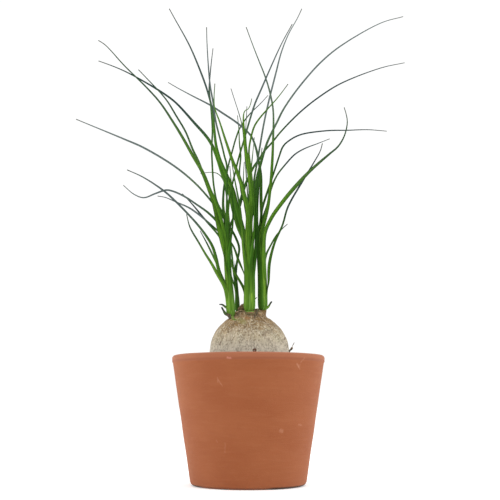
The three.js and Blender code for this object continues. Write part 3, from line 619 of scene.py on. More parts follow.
class Shader:
    """A tree of nodes, with short calls for the few kinds of node that it uses."""

    def __init__(self, owner, inputs, surface="Principled BSDF"):
        owner.use_nodes = True
        self.owner = owner
        self.colour = None
        self.nodes = owner.node_tree.nodes
        self.links = owner.node_tree.links
        self.surface = self.nodes[surface]
        self.fill(self.surface, inputs)
        self.places = self.node("ShaderNodeTexCoord").outputs
        self.place = self.places["Object"]

    def fill(self, node, inputs):
        """Links or sets a node's inputs."""
        for key, value in inputs.items():
            if isinstance(value, bpy.types.NodeSocket):
                self.links.new(value, node.inputs[key])
            else:
                node.inputs[key].default_value = value

    def node(self, kind, inputs=None, **settings):
        made = self.nodes.new(kind)
        for key, value in settings.items():
            setattr(made, key, value)
        self.fill(made, inputs or {})
        return made

    def math(self, operation, a, b, clamp=False):
        return self.node("ShaderNodeMath", {0: a, 1: b}, operation=operation, use_clamp=clamp).outputs[0]

    def times(self, a, b):
        return self.math("MULTIPLY", a, b)

    def plus(self, a, b):
        return self.math("ADD", a, b)

    def off(self, a, b):
        """How far one number is from another."""
        return self.math("ABSOLUTE", self.math("SUBTRACT", a, b), 0.0)

    def vector(self, operation, a, b=(0, 0, 0), scale=1.0):
        inputs = {0: a, "Scale": scale} if operation == "SCALE" else {0: a, 1: b}
        made = self.node("ShaderNodeVectorMath", inputs, operation=operation)
        return made.outputs["Value" if operation in ("DOT_PRODUCT", "DISTANCE", "LENGTH") else "Vector"]

    def attribute(self, name):
        return self.node("ShaderNodeAttribute", attribute_name=name).outputs["Fac"]

    def apart(self, vector):
        return self.node("ShaderNodeSeparateXYZ", {0: vector}).outputs

    def stretched(self, vector, scale):
        return self.vector("MULTIPLY", vector, scale)

    def noise(self, vector, size, detail=3.0, rough=0.5):
        """Noise whose blotches are about size millimetres across."""
        inputs = {"Vector": vector, "Scale": 1 / (size * MM), "Detail": detail, "Roughness": rough}
        return self.node("ShaderNodeTexNoise", inputs).outputs["Fac"]

    def wander(self, size, reach):
        """A length that strays up and down by up to half the reach."""
        return self.times(self.math("SUBTRACT", self.noise(self.place, size), 0.5), reach * MM)

    def shaken(self, scale, reach):
        """The place, shaken by up to half the reach so that marks have uneven edges."""
        inputs = {"Vector": self.place, "Scale": scale, "Detail": 2.0}
        shake = self.node("ShaderNodeTexNoise", inputs).outputs["Color"]
        even = self.vector("SUBTRACT", shake, (0.5, 0.5, 0.5))
        return self.vector("ADD", self.place, self.vector("SCALE", even, scale=reach * MM))

    def cells(self, vector, size):
        """The distance to the edge of cells that are about size millimetres across."""
        inputs = {"Vector": vector, "Scale": 1 / (size * MM)}
        return self.node("ShaderNodeTexVoronoi", inputs, feature="DISTANCE_TO_EDGE").outputs["Distance"]

    def step(self, value, low, high, start=0.0, end=1.0):
        """A smooth change from start to end as the value goes from low to high."""
        inputs = {"Value": value, "From Min": low, "From Max": high, "To Min": start, "To Max": end}
        return self.node("ShaderNodeMapRange", inputs, interpolation_type="SMOOTHSTEP").outputs["Result"]

    def step_mm(self, length, low, high, start=0.0, end=1.0):
        """A smooth step between two lengths in millimetres."""
        return self.step(length, low * MM, high * MM, start, end)

    def mix(self, share, a, b):
        a, b = (c if isinstance(c, bpy.types.NodeSocket) else (*c, 1.0) for c in (a, b))
        return self.node("ShaderNodeMix", {"Factor": share, 6: a, 7: b}, data_type="RGBA").outputs[2]

    def paint(self, mask, shade, strength=1.0):
        """Lays a shade over the colour so far, where the mask is."""
        share = mask if strength == 1.0 else self.times(mask, strength)
        self.colour = self.mix(share, self.colour, shade)

    def paint_marks(self, place, marks, usual, forms):
        """Paints marks from a table, in the usual colour where a mark has none of its own."""
        for x0, z0, x1, z1, width, strength, *shade in marks:
            mark = self.near_line(place, seen_point(x0, z0, forms), seen_point(x1, z1, forms), width)
            self.paint(mark, shade[0] if shade else usual, strength)

    def near_line(self, place, start, end, width):
        """1 on the line between two points in millimetres, and 0 further from it than width."""
        run = (Vector(end) - Vector(start)) * MM
        offset = self.vector("SUBTRACT", place, Vector(start) * MM)
        share = self.math("DIVIDE", self.vector("DOT_PRODUCT", offset, run), run.dot(run), clamp=True)
        away = self.vector("DISTANCE", offset, self.vector("SCALE", run, scale=share))
        return self.step_mm(away, 0.35 * width, width, 1.0, 0.0)

    def bump(self, height, distance, **under):
        """A normal for a height. The keyword Normal gives the normal that it rests on."""
        inputs = {"Height": height, "Distance": distance * MM, "Strength": 1.0, **under}
        return self.node("ShaderNodeBump", inputs).outputs["Normal"]

    def finish(self, normal, **inputs):
        """Gives the surface its colour and normal, and returns the material."""
        self.fill(self.surface, {"Base Color": self.colour, "Normal": normal, **inputs})
        return self.owner


def new_shader(name, inputs):
    return Shader(bpy.data.materials.new(name), inputs)


def seen_point(x, z, forms):
    """The point of upright round forms that the camera sees through (x, z) on the plane y = 0."""
    through = np.array([x, 0.0, z])
    for share in np.linspace(RAY_START, 1.0, RAY_STEPS):
        point = EYE + (through - EYE) * share
        for centre, profile in forms:
            widths, heights = zip(*profile)
            reach = np.interp(point[2], heights, widths, left=0.0, right=0.0)
            if math.hypot(point[0] - centre[0], point[1] - centre[1]) < reach:
                return tuple(point)
    return tuple(through)


POT_SIDE = [(FOOT_RADIUS, FOOT_HEIGHT), (RIM_RADIUS - COLLAR_STEP, COLLAR_EDGE), (RIM_RADIUS, POT_HEIGHT)]
POT_FORMS = [((0.0, 0.0), [(BASE_RADIUS, 0.0), *POT_SIDE])]
TRUNK_FORMS = [(TRUNK_CENTRE, TRUNK_PROFILE), *SWELLINGS]


# Clay: fine level grain, a pinker collar, a painted highlight along the top of the lip, rubbed marks and a
# painted shadow along the foot
def clay_material():
    s = new_shader("clay", {
        "Roughness": 0.82, "Specular IOR Level": 0.25, "Diffuse Roughness": 0.7,
        "Sheen Weight": 0.07, "Sheen Roughness": 0.6, "Sheen Tint": (1.0, 0.86, 0.74, 1.0),
    })
    aside, _, height = s.apart(s.place)
    blotch = s.noise(s.stretched(s.place, (0.8, 0.8, 1.4)), 38, 2.0)
    s.colour = s.mix(s.step(blotch, 0.3, 0.7), (0.325, 0.09, 0.0275), (0.352, 0.105, 0.035))
    level_grain = s.noise(s.stretched(s.place, (0.12, 0.12, 1.0)), 2.2, 3.0, 0.6)
    s.paint(s.step(level_grain, 0.45, 0.7), (0.4, 0.14, 0.055), 0.2)
    s.paint(s.step(s.noise(s.place, 7, 3.0, 0.6), 0.52, 0.72), (0.295, 0.078, 0.025), 0.2)
    grain = s.noise(s.place, 0.9, 2.0, 0.7)
    s.paint(s.step(grain, 0.5, 0.8), (0.43, 0.16, 0.072), 0.22)
    level = s.plus(height, s.wander(30, 1.6))
    collar = s.step_mm(level, COLLAR_EDGE - 0.4, COLLAR_EDGE + 1.4)
    s.paint(collar, (0.41, 0.15, 0.078), 0.6)
    line = s.times(collar, s.step_mm(level, COLLAR_EDGE + 1, COLLAR_EDGE + 3.5, 1.0, 0.0))
    s.paint(line, (0.26, 0.07, 0.028), 0.55)
    # Painted highlight: the top of the lip is paler, where light catches its rounded edge
    s.paint(s.step_mm(height, POT_HEIGHT - 2, POT_HEIGHT), (0.5, 0.21, 0.125), 0.45)
    # Painted shadow: a dark line along the foot's bottom edge, stronger towards the left and right
    local_strength = s.plus(s.step_mm(aside, -44, -38, 1.0, 0.0), s.step_mm(aside, 14, 22))
    local_strength = s.plus(s.times(local_strength, 0.55), 0.35)
    s.paint(s.step_mm(height, 1.2, 2.6, 1.0, 0.0), (0.02, 0.008, 0.004), local_strength)
    s.paint_marks(s.shaken(900.0, 2.2), POT_MARKS, PALE_MARK, POT_FORMS)
    s.paint(inner_mask(s), (0.2, 0.095, 0.055), 0.55)
    return s.finish(s.bump(level_grain, 0.2, Normal=s.bump(grain, 0.16)))


def inner_mask(s):
    """1 on the inner side of the pot's wall."""
    x, y, z = s.apart(s.place)
    reach = s.math("POWER", s.plus(s.times(x, x), s.times(y, y)), 0.5)
    slope = (RIM_RADIUS - FOOT_RADIUS) / (POT_HEIGHT - FOOT_HEIGHT)
    middle = s.plus(s.times(z, slope), (FOOT_RADIUS - 0.6 * WALL - 1) * MM)
    return s.step_mm(s.math("SUBTRACT", reach, middle), -1.5, 1.5, 1.0, 0.0)


# Bark of the trunk base: a pale grey beige skin with fine dark specks, tan and streaked towards the top, and
# painted light low down near the rim
def bark_material():
    s = new_shader("bark", {"Roughness": 0.86, "Specular IOR Level": 0.2, "Diffuse Roughness": 0.5})
    aside, _, height = s.apart(s.place)
    bent = s.shaken(420.0, 1.6)
    broad = s.step(s.noise(s.place, 12), 0.36, 0.66)
    s.colour = s.mix(broad, (0.49, 0.42, 0.29), (0.55, 0.48, 0.36))
    green = s.noise(s.stretched(s.place, (1, 1, 0.7)), 15, 2.0)
    s.paint(s.step(green, 0.5, 0.68), (0.44, 0.44, 0.29), 0.25)
    level = s.plus(s.plus(height, s.wander(9, 22)), s.times(aside, -0.05))
    s.paint(s.step_mm(level, 127, 149), (0.25, 0.15, 0.056))
    # Painted light: the bark is lightened low down near the rim, against the shade that the pot and soil
    # cast there
    s.paint(s.step_mm(height, 118, 133, 0.85, 0.0), (0.8, 0.74, 0.62))
    s.paint(s.step_mm(height, 151, 156, 0.0, 0.3), (0.2, 0.11, 0.045))
    flat = s.stretched(s.place, (1, 1, 0))
    spoke = s.vector("SCALE", flat, scale=s.math("DIVIDE", 30 * MM, s.vector("LENGTH", flat)))
    spoke = s.vector("ADD", spoke, s.stretched(bent, (0.1, 0.1, 0.22)))
    streak = s.noise(spoke, 1.7, 3.0, 0.6)
    local_strength = s.step_mm(level, 128, 146, 0.15, 0.8)
    s.paint(s.step(streak, 0.54, 0.64), (0.17, 0.105, 0.045), local_strength)
    s.paint(s.step(streak, 0.46, 0.36), (0.62, 0.5, 0.33), local_strength)
    long = s.stretched(bent, (1.0, 1.0, 0.7))
    net = s.step(s.cells(long, 2.5), 0.02, 0.16, 1.0, 0.0)
    net = s.times(net, s.step(s.noise(s.place, 6, 2.0), 0.4, 0.55))
    s.paint(net, (0.17, 0.12, 0.07), s.step_mm(height, 120, 134, 0.38, 0.55))
    pale = s.step(s.noise(long, 1.25, 1.0), 0.54, 0.62)
    s.paint(pale, (0.74, 0.68, 0.54), s.step_mm(level, 138, 152, 0.5, 0.2))
    fleck = s.noise(s.vector("ADD", long, (0.3, 0.1, 0.2)), 1.45, 1.0)
    s.paint(s.step(fleck, 0.6, 0.66), (0.17, 0.12, 0.065), s.step_mm(height, 120, 134, 0.4, 0.75))
    shaken = s.shaken(700.0, 1.6)
    stem_centre = Vector((*OLD_STEM_CENTRE, 0)) * MM
    away = s.vector("DISTANCE", s.stretched(shaken, (1, 1, 0)), stem_centre)
    stem = s.step_mm(away, 6.6, 7.8, 1.0, 0.0)
    stem_colour = s.mix(streak, (0.11, 0.06, 0.03), (0.27, 0.165, 0.085))
    s.paint(stem, stem_colour, s.step_mm(height, 155.2, 155.8, 0.0, 0.85))
    for z, half, strength, shade in OLD_STEM_BANDS:
        off = s.off(s.apart(shaken)["Z"], z * MM)
        s.paint(stem, shade, s.step_mm(off, 0.5 * half, 1.3 * half, strength, 0.0))
    s.paint_marks(shaken, BARK_MARKS, BROWN_MARK, TRUNK_FORMS)
    away = s.vector("DISTANCE", shaken, Vector(seen_point(*SCAR, TRUNK_FORMS)) * MM)
    s.paint(s.step_mm(s.off(away, SCAR_RADIUS * MM), 0.3, 0.9, 0.95, 0.0), (0.13, 0.045, 0.02))
    bump = s.bump(s.noise(bent, 1.1, 3.0, 0.65), 0.4, Normal=s.bump(net, 0.35))
    return s.finish(s.bump(s.noise(s.place, 5), 0.7, Normal=bump))


# Leaves: fine lengthwise veins, blue grey in the outer half, and painted light and shade: a brightness for
# each leaf, a darker underside, a darker half of the channel, lighter sheath feet and shade deep in the
# bundles
def leaf_material():
    s = new_shader("leaf", {"Specular IOR Level": 0.04})
    under = s.attribute("under")
    tone = s.attribute("tone")
    share = s.attribute("share")
    rim = s.attribute("rim")
    pale = s.attribute("pale")
    aside, _, height = s.apart(s.place)
    axes = {0: s.attribute("across"), 1: s.times(s.attribute("along"), 0.02), 2: s.attribute("leaf")}
    blade_place = s.node("ShaderNodeCombineXYZ", axes).outputs[0]
    streak = s.noise(blade_place, 0.9 / MM, 3.0, 0.6)
    # Painted light and shade: each leaf's tone stands for how lit it is, and the underside is painted darker
    upper = s.mix(tone, (0.052, 0.155, 0.012), (0.14, 0.31, 0.02))
    below = s.mix(tone, (0.022, 0.062, 0.02), (0.088, 0.25, 0.014))
    s.colour = s.mix(under, upper, below)
    low = s.mix(tone, (0.1, 0.235, 0.012), (0.19, 0.37, 0.035))
    s.paint(s.step_mm(height, 180, 250, 1.0, 0.0), low, 0.8)
    # Painted light: the sheaths are lightened near their feet, against the shade there
    s.paint(s.step_mm(height, 160, 182, 0.75, 0.0), (0.2, 0.38, 0.045))
    s.paint(s.step(streak, 0.4, 0.56), (0.035, 0.11, 0.006), 0.55)
    s.paint(s.step(streak, 0.55, 0.7), (0.3, 0.52, 0.06), 0.6)
    # Painted shade: one half of the channelled blade is darker, as a fold shaded on one side
    s.paint(s.step(rim, -0.1, 0.25, 1.0, 0.0), (0.03, 0.11, 0.01), 0.45)
    margin = s.mix(s.step_mm(height, 164, 178), (0.3, 0.48, 0.15), (0.012, 0.04, 0.008))
    s.paint(s.step(s.off(rim, 0.0), 0.72, 1.0), margin, s.step_mm(height, 164, 178, 0.35, 0.75))
    shaded = s.mix(s.step(streak, 0.4, 0.65), (0.011, 0.05, 0.003), (0.04, 0.14, 0.01))
    s.paint(s.attribute("deep"), shaded, 0.85)
    start = s.step(under, 0.0, 1.0, 0.46, 0.36)
    outer = s.math("DIVIDE", s.math("SUBTRACT", share, start), 0.3, clamp=True)
    wide = s.step_mm(s.off(aside, -3 * MM), 27, 45)
    high = s.step_mm(s.plus(height, s.times(pale, 110 * MM)), 345, 395)
    outer = s.times(outer, s.math("MAXIMUM", wide, high))
    bleached = s.mix(pale, (0.024, 0.042, 0.048), (0.19, 0.225, 0.225))
    s.paint(outer, bleached, s.step(under, 0.0, 1.0, 0.7, 0.92))
    s.paint(s.step(share, 0.93, 1.0), (0.12, 0.12, 0.1), 0.6)
    ribs = s.node("ShaderNodeTexWave", {"Vector": blade_place, "Scale": 0.9, "Distortion": 0.0})
    return s.finish(s.bump(ribs.outputs["Fac"], 0.12), Roughness=s.step(under, 0.0, 1.0, 0.4, 0.55))


# Dry scales, stubs, fibres and the rootlet
def dry_material():
    s = new_shader("dry_leaf", {"Roughness": 0.75, "Specular IOR Level": 0.25})
    streak = s.noise(s.stretched(s.place, (1.0, 1.0, 0.25)), 0.8, 3.0, 0.6)
    s.colour = s.mix(s.step(streak, 0.35, 0.7), (0.09, 0.055, 0.03), (0.36, 0.25, 0.13))
    s.paint(s.attribute("dark"), (0.011, 0.025, 0.014))
    s.paint(s.attribute("green"), s.mix(streak, (0.06, 0.13, 0.01), (0.17, 0.33, 0.03)))
    return s.finish(s.bump(streak, 0.3))


def soil_material():
    s = new_shader("soil", {"Roughness": 0.95, "Specular IOR Level": 0.15, "Diffuse Roughness": 0.6})
    broad = s.step(s.noise(s.place, 6, 4.0, 0.65), 0.35, 0.7)
    s.colour = s.mix(broad, (0.02, 0.012, 0.008), (0.085, 0.052, 0.032))
    fibre = s.noise(s.stretched(s.place, (1.0, 0.25, 1.0)), 1.1, 2.0, 0.7)
    s.paint(s.step(fibre, 0.62, 0.75), (0.2, 0.125, 0.07), 0.6)
    return s.finish(s.bump(s.noise(s.place, 1.3, 4.0, 0.7), 0.9))


def perlite_material():
    s = new_shader("perlite", {"Roughness": 0.9, "Specular IOR Level": 0.2})
    s.colour = s.mix(s.noise(s.place, 1.2), (0.5, 0.46, 0.4), (0.8, 0.78, 0.73))
    return s.finish(s.bump(s.noise(s.place, 0.6), 0.2))


# Pot
def pot_profile():
    """The radius and height of the pot's surface, from the drain hole out, up and back inside."""
    profile = [(DRAIN_RADIUS, 0.0)]
    profile += [(BASE_RADIUS + out, z) for out, z in BASE_STEPS]
    for share in np.linspace(0, 1, WALL_RINGS):
        radius = lerp(FOOT_RADIUS, RIM_RADIUS - COLLAR_STEP, share)
        profile.append((radius, lerp(FOOT_HEIGHT, COLLAR_EDGE, share)))
    profile += [(RIM_RADIUS - 0.35, COLLAR_EDGE + 0.45), (RIM_RADIUS - 0.08, COLLAR_EDGE + 1.1)]
    for turn in np.linspace(0, math.pi / 2, LIP_RINGS):
        out, up = round_point(LIP_RADIUS, turn)
        profile.append((RIM_RADIUS - LIP_RADIUS + out, POT_HEIGHT - LIP_RADIUS + up))
    profile += [(INNER_RADIUS + 1.4, POT_HEIGHT - 0.4), (INNER_RADIUS + 0.4, POT_HEIGHT - 1.4)]
    profile += [(INNER_RADIUS, POT_HEIGHT - 3)]
    for share in np.linspace(0.15, 1, INNER_RINGS):
        z = lerp(INNER_TOP, FLOOR + INNER_CORNER, share)
        profile.append((lerp(INNER_RADIUS, INNER_FOOT, share), z))
    profile += [(INNER_FOOT - 1.4, FLOOR + 1.4), (INNER_FOOT - INNER_CORNER, FLOOR), (DRAIN_RADIUS, FLOOR)]
    return profile


def make_pot():
    profile = pot_profile()
    points = []
    for radius, z in profile:
        for turn in turns(POT_SIDES):
            x, y = round_point(1, turn)
            dent = noise.noise(Vector((x, y, z / 40)) * 2.3) - 1
            reach = radius + POT_DENT * dent * smoothstep(z, 0, 8) * smoothstep(radius, 40, 50)
            lift = LIP_WAVE * (noise.noise(Vector((x * 3, y * 3, 7))) - 1)
            points.append((reach * x, reach * y, z + lift * smoothstep(z, COLLAR_EDGE, POT_HEIGHT)))
    count = len(points)
    faces = [tuple(i % count for i in face) for face in band(len(profile) + 1, POT_SIDES)]
    form = Form()
    form.add(points, [tuple(reversed(face)) for face in faces])
    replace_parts(form.piece("clay_pot", clay_material(), "terracotta"), "pot")


# Soil: a crumbly top between the trunk and the wall
def inner_wall(z):
    """The radius of the pot's inner wall at a height."""
    share = (z - FLOOR - INNER_CORNER) / (INNER_TOP - FLOOR - INNER_CORNER)
    return lerp(INNER_FOOT, INNER_RADIUS, share)


def soil_height(x, y):
    rough = noise.fractal(Vector((x, y, 3)) / SOIL_BLOTCH, 0.8, 2.1, 4)
    mound = SOIL_MOUND * smoothstep(math.hypot(x, y), inner_wall(SOIL_LEVEL), MOUND_RADIUS)
    return SOIL_LEVEL + mound + SOIL_ROUGHNESS * rough - SOIL_DROP


def make_soil():
    low = inner_wall(FLOOR + INNER_CORNER)
    rows = [(DRAIN_RADIUS - 1, SOIL_FLOOR), (low - SOIL_CORNER, SOIL_FLOOR)]
    rows += [(low - SOIL_GAP, FLOOR + SOIL_CORNER)]
    rows += [(inner_wall(z) - SOIL_GAP, z) for z in SOIL_WALL_HEIGHTS]
    points = [(*round_point(radius, turn), z) for radius, z in rows for turn in turns(SOIL_SIDES)]
    edge = inner_wall(SOIL_LEVEL) - SOIL_GAP
    for share in np.linspace(0, 1, SOIL_TOP_RINGS):
        for turn in turns(SOIL_SIDES):
            x, y = round_point(edge - SOIL_TOP_WIDTH * share ** 0.9, turn)
            points.append((x, y, soil_height(x, y)))
    form = Form()
    form.add(points, capped(len(rows) + SOIL_TOP_RINGS, SOIL_SIDES))
    scatter(form, CRUMBS, CRUMB_SIZES, CRUMB_SEED)
    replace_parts(form.piece("soil_top", soil_material(), "soil"), "soil")
    grit = Form()
    scatter(grit, PERLITE, PERLITE_SIZES, PERLITE_SEED)
    grit.piece("perlite_grit", perlite_material(), "soil")


def scatter(form, count, sizes, seed):
    """Uneven lumps on the soil, sunk in to a third."""
    chance = np.random.default_rng(seed)
    base, base_faces = lump_shape()
    near, far = OPEN_SOIL
    for _ in range(count):
        turn = chance.uniform(0, 2 * math.pi)
        x, y = round_point(math.sqrt(chance.uniform(near ** 2, far ** 2)), turn)
        size = lerp(*sizes, chance.uniform() ** 2)
        shape = chance.uniform(*LUMP_STRETCH, 3) * size
        spin = Matrix.Rotation(chance.uniform(0, 6.3), 3, Vector(unit(chance.normal(size=3))))
        offset = Vector(chance.uniform(0, 50, 3))
        centre = (x, y, soil_height(x, y) + LUMP_RISE * size)
        points = []
        for corner in base:
            push = 1 + LUMP_DENT * noise.noise(corner * 1.3 + offset)
            local = spin @ Vector([c * s for c, s in zip(corner, shape)]) * push
            points.append([c + l for c, l in zip(centre, local)])
        form.add(points, base_faces)


def lump_shape(rows=4, sides=7):
    """Corners and faces of a small round lump."""
    points = [Vector((0, 0, -1))]
    for row in range(1, rows):
        rise = -math.cos(math.pi * row / rows)
        reach = math.sin(math.pi * row / rows)
        for side in range(sides):
            turn = 2 * math.pi * (side + 0.5 * (row % 2)) / sides
            points.append(Vector((*round_point(reach, turn), rise)))
    points.append(Vector((0, 0, 1)))
    top = 1 + (rows - 2) * sides
    faces = []
    for side in range(sides):
        after = (side + 1) % sides
        faces.append((0, 1 + after, 1 + side))
        faces.append((len(points) - 1, top + side, top + after))
    faces += [tuple(1 + i for i in quad) for quad in band(rows - 1, sides)]
    return points, faces


# Trunk base: body and necks melted into one skin
def make_trunk():
    profile = smooth_line([(r, 0, z) for r, z in TRUNK_PROFILE], samples=6)
    points = []
    for radius, _, z in profile:
        for turn in turns(TRUNK_SIDES):
            wave = math.sin(3 * turn + z / 17) + 0.7 * math.sin(5 * turn - z / 11)
            x, y = round_point(radius * (1 + TRUNK_WAVE * wave), turn)
            points.append((TRUNK_CENTRE[0] + x, TRUNK_CENTRE[1] + y * TRUNK_DEPTH_SHARE, z))
    form = Form()
    form.add(points, capped(len(profile), TRUNK_SIDES))
    for (x, y), profile in SWELLINGS:
        rings = smooth_line([(r, 0, z) for r, z in profile], samples=4)
        form.add(*tube(np.array([(x, y, z) for _, _, z in rings]), rings[:, 0], SWELLING_SIDES))
    piece = form.piece("trunk_base", bark_material(), "bark")
    melt = piece.modifiers.new("melt", "REMESH")
    melt.mode = "VOXEL"
    melt.voxel_size = TRUNK_VOXEL * MM
    melt.use_smooth_shade = True
    soften = piece.modifiers.new("soften", "SMOOTH")
    soften.factor = 0.5
    soften.iterations = 7
    settle(piece)
    moved = []
    for place, normal in [(v.co.copy(), v.normal.copy()) for v in piece.data.vertices]:
        spot = place / MM
        ripple = noise.fractal(spot / RIPPLE_SPACING, 0.9, 2.0, 3) * RIPPLE_HEIGHT
        pit = min(noise.noise(spot / PIT_SPACING), 0) * PIT_DEPTH
        knob = smoothstep(spot.z, *KNOBS_BETWEEN) * noise.noise(spot / KNOB_SPACING) * KNOB_HEIGHT
        moved.extend(place + normal * (ripple + pit + knob) * MM)
    piece.data.vertices.foreach_set("co", moved)
    piece.data.update()
    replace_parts(piece, "caudex")


def settle(piece):
    """Puts the result of a piece's modifiers in its mesh."""
    graph = bpy.context.evaluated_depsgraph_get()
    done = bpy.data.meshes.new_from_object(piece.evaluated_get(graph))
    piece.modifiers.clear()
    piece.data = done


def make_rootlet():
    marks = shares_along(np.array(ROOTLET_PATH, dtype=float))
    form = Form("dark", "green")
    add_rod(
        form, ROOTLET_PATH, lambda s: np.interp(s, marks, ROOTLET_RADII), uneven=0.25, grain=1.3,
        dark=lambda s: 0.4 * (1 - smoothstep(s, 0.4, 0.7)),
    )
    form.piece("rootlet", dry_leaf, "bark")


def make_fibres():
    form = Form("dark", "green")
    for radius, dark, green, path in FIBRES:
        seen = [seen_point(x, z, TRUNK_FORMS) for x, z in path]
        add_rod(
            form, seen, lambda s: radius * (1 - 0.7 * abs(2 * s - 1) ** 3), sides=8, uneven=0.5, grain=1.0,
            dark=lambda s: dark, green=lambda s: green,
        )
    form.piece("crown_fibres", dry_leaf, "bark")


# Leaves
def placed(x, z, depth):
    """The point at a depth that the camera sees through (x, z) on the plane y = 0."""
    share = 1 + depth / -EYE[1]
    return np.array([EYE[0] + (x - EYE[0]) * share, depth, EYE[2] + (z - EYE[2]) * share])


def axis_at(shoot, z):
    """The point of a sheath's middle line by the share of its height, as in the part's source."""
    line = shoot["line"]
    foot = shoot["axis"][0][2]
    share = clamp((z - foot) / (shoot["axis"][-1][2] - foot)) * (len(line) - 1)
    low = min(int(share), len(line) - 2)
    return lerp(line[low], line[low + 1], share - low)


def rod_radius(shoot, z):
    return float(np.interp(z, [p[2] for p in shoot["axis"]], shoot["radii"]))


def foot_share(shoot, z):
    """How far a sheath has widened above its rounded foot."""
    below = 1 - clamp((z - shoot["axis"][0][2]) / FOOT_ROUNDING)
    return lerp(FOOT_LEAST, 1, math.sqrt(1 - below * below))


def leaf_line(shoot, leaf):
    """A leaf's middle line, from its sheath's foot, and the direction in which it leans."""
    foot_x, foot_y, foot_z = shoot["axis"][0]
    path = leaf["path"]
    first_z = path[0][1]
    sheath = shoot["radii"][1]
    lean = math.atan2(leaf["tip"] - foot_y, path[-1][0] - foot_x)
    points = []
    for rise, share in WRAP_RISES:
        z = foot_z + rise
        if z < first_z - 10:
            middle = axis_at(shoot, z)
            x, y = round_point(share * sheath, lean)
            points.append((middle[0] + x, middle[1] + y, z))
    start = leaf.get("start", axis_at(shoot, first_z)[1] + sheath * math.sin(lean))
    shares = shares_along(np.array([(x, 0.0, z) for x, z in path]))
    for (x, z), t in zip(path, shares):
        near = start * (1 - t) * (1 - 2 * t) + leaf["middle"] * 4 * t * (1 - t)
        points.append(placed(x, z, near + leaf["tip"] * t * (2 * t - 1)))
    return smooth_line(points), lean


def seen_width(leaf, t):
    low = lerp(leaf["foot"], leaf["seen"], smoothstep(t, *WIDENING))
    wide = leaf.get("wide", TAPER_START)
    spent = max((t - wide) / (1 - wide), 0.0)
    slender = min(low, SLENDER_WIDTH) * (1 - SLENDER_LOSS * smoothstep(t, SLENDER_FROM, 1))
    return max(low * (1 - spent) ** TAPER_POWER, slender)


def blade_turn(leaf, shoot):
    """The angle that a blade is turned from facing the front, more for one that reaches aside."""
    foot = shoot["axis"][0]
    aside = abs(leaf["path"][-1][0] - foot[0])
    ahead = abs(leaf["tip"] - foot[1])
    return math.radians(BLADE_TURN + ASIDE_TURN * (aside / math.hypot(aside, ahead)))


def add_leaf(form, shoot, leaf, rank, number):
    """A channelled blade whose foot wraps round its sheath, the lower leaves outside the higher ones."""
    line, lean = leaf_line(shoot, leaf)
    line_runs = runs_along(line)
    length = line_runs[-1]
    foot_runs = np.linspace(0, FOOT_END, FOOT_RINGS)[:-1]
    runs = [*foot_runs, *np.linspace(FOOT_END, length - TIP_STOP, int(length / RING_STEP))]
    middles = np.stack([np.interp(runs, line_runs, line[:, k]) for k in range(3)], axis=1)
    side = 1 if leaf.get("upper") else -1
    turn = side * blade_turn(leaf, shoot)
    free_z = leaf["path"][0][1]
    out = np.array([*round_point(1, lean), 0.0])
    tangent = np.array([-math.sin(lean), math.cos(lean), 0.0])
    columns = np.linspace(-1, 1, BLADE_COLUMNS)
    around = [(u, 1) for u in columns] + [(u, -1) for u in columns[::-1]]
    low, high = shoot.get("shade", BUNDLE_SHADE)
    points = []
    values = defaultdict(list)
    for i, (middle, run) in enumerate(zip(middles, runs)):
        t = run / length
        z = middle[2]
        along = heading(middles, i)
        across = unit(np.cross(along, [0.0, 1.0, 0.0]))
        upward = turned(np.cross(across, along), along, turn) * -side
        across = turned(across, along, turn)
        half = max(seen_width(leaf, t) / math.cos(turn), TIP_WIDTH) / 2
        thick = BLADE_THICKNESS * (1 - 0.3 * t)
        hug = 1 - smoothstep(z, free_z + FREE_FROM, free_z + FREE_AT)
        centre = np.array([*axis_at(shoot, z)[:2], z])
        radius = (rod_radius(shoot, z) + WRAP_GAP + WRAP_LAYERS * (1 - rank)) * foot_share(shoot, z)
        sign = 1 if np.dot(tangent, across) >= 0 else -1
        face = 1 if np.dot(out, upward) >= 0 else -1
        round_half = sign * lerp(*WRAP_HALVES, smoothstep(t, 0, 0.3))
        fade = smoothstep(z, low, low + SHADE_ENDS[0]) * (1 - smoothstep(z, high, high + SHADE_ENDS[1]))
        deep = leaf.get("deep", shoot.get("deep", 0.0)) * fade
        for u, layer in around:
            channel = 2 * half * CHANNEL_SHARE * (u * u)
            free = middle + across * u * half + upward * (channel + layer * thick / 2)
            angle = u * round_half / radius
            ray = out * math.cos(angle) + tangent * math.sin(angle)
            points.append(lerp(free, centre + ray * (radius + face * layer * thick / 2), hug))
            under = 0.0 if layer == 1 else 1.0
            own = {"across": u * half, "rim": u, "along": run, "under": under, "share": t, "deep": deep}
            for name, value in own.items():
                values[name].append(value)
    sides = len(around)
    faces = capped(len(runs), sides)
    if leaf.get("upper"):
        faces = [tuple(reversed(face)) for face in faces]
    edges = (0, BLADE_COLUMNS - 1, BLADE_COLUMNS, sides - 1)
    sharp = [(k + e, k + e + sides) for k in range(0, len(points) - sides, sides) for e in edges]
    pale = leaf.get("pale", 0.0)
    form.add(points, faces, sharp, tone=leaf["tone"], pale=pale, leaf=float(number), **values)


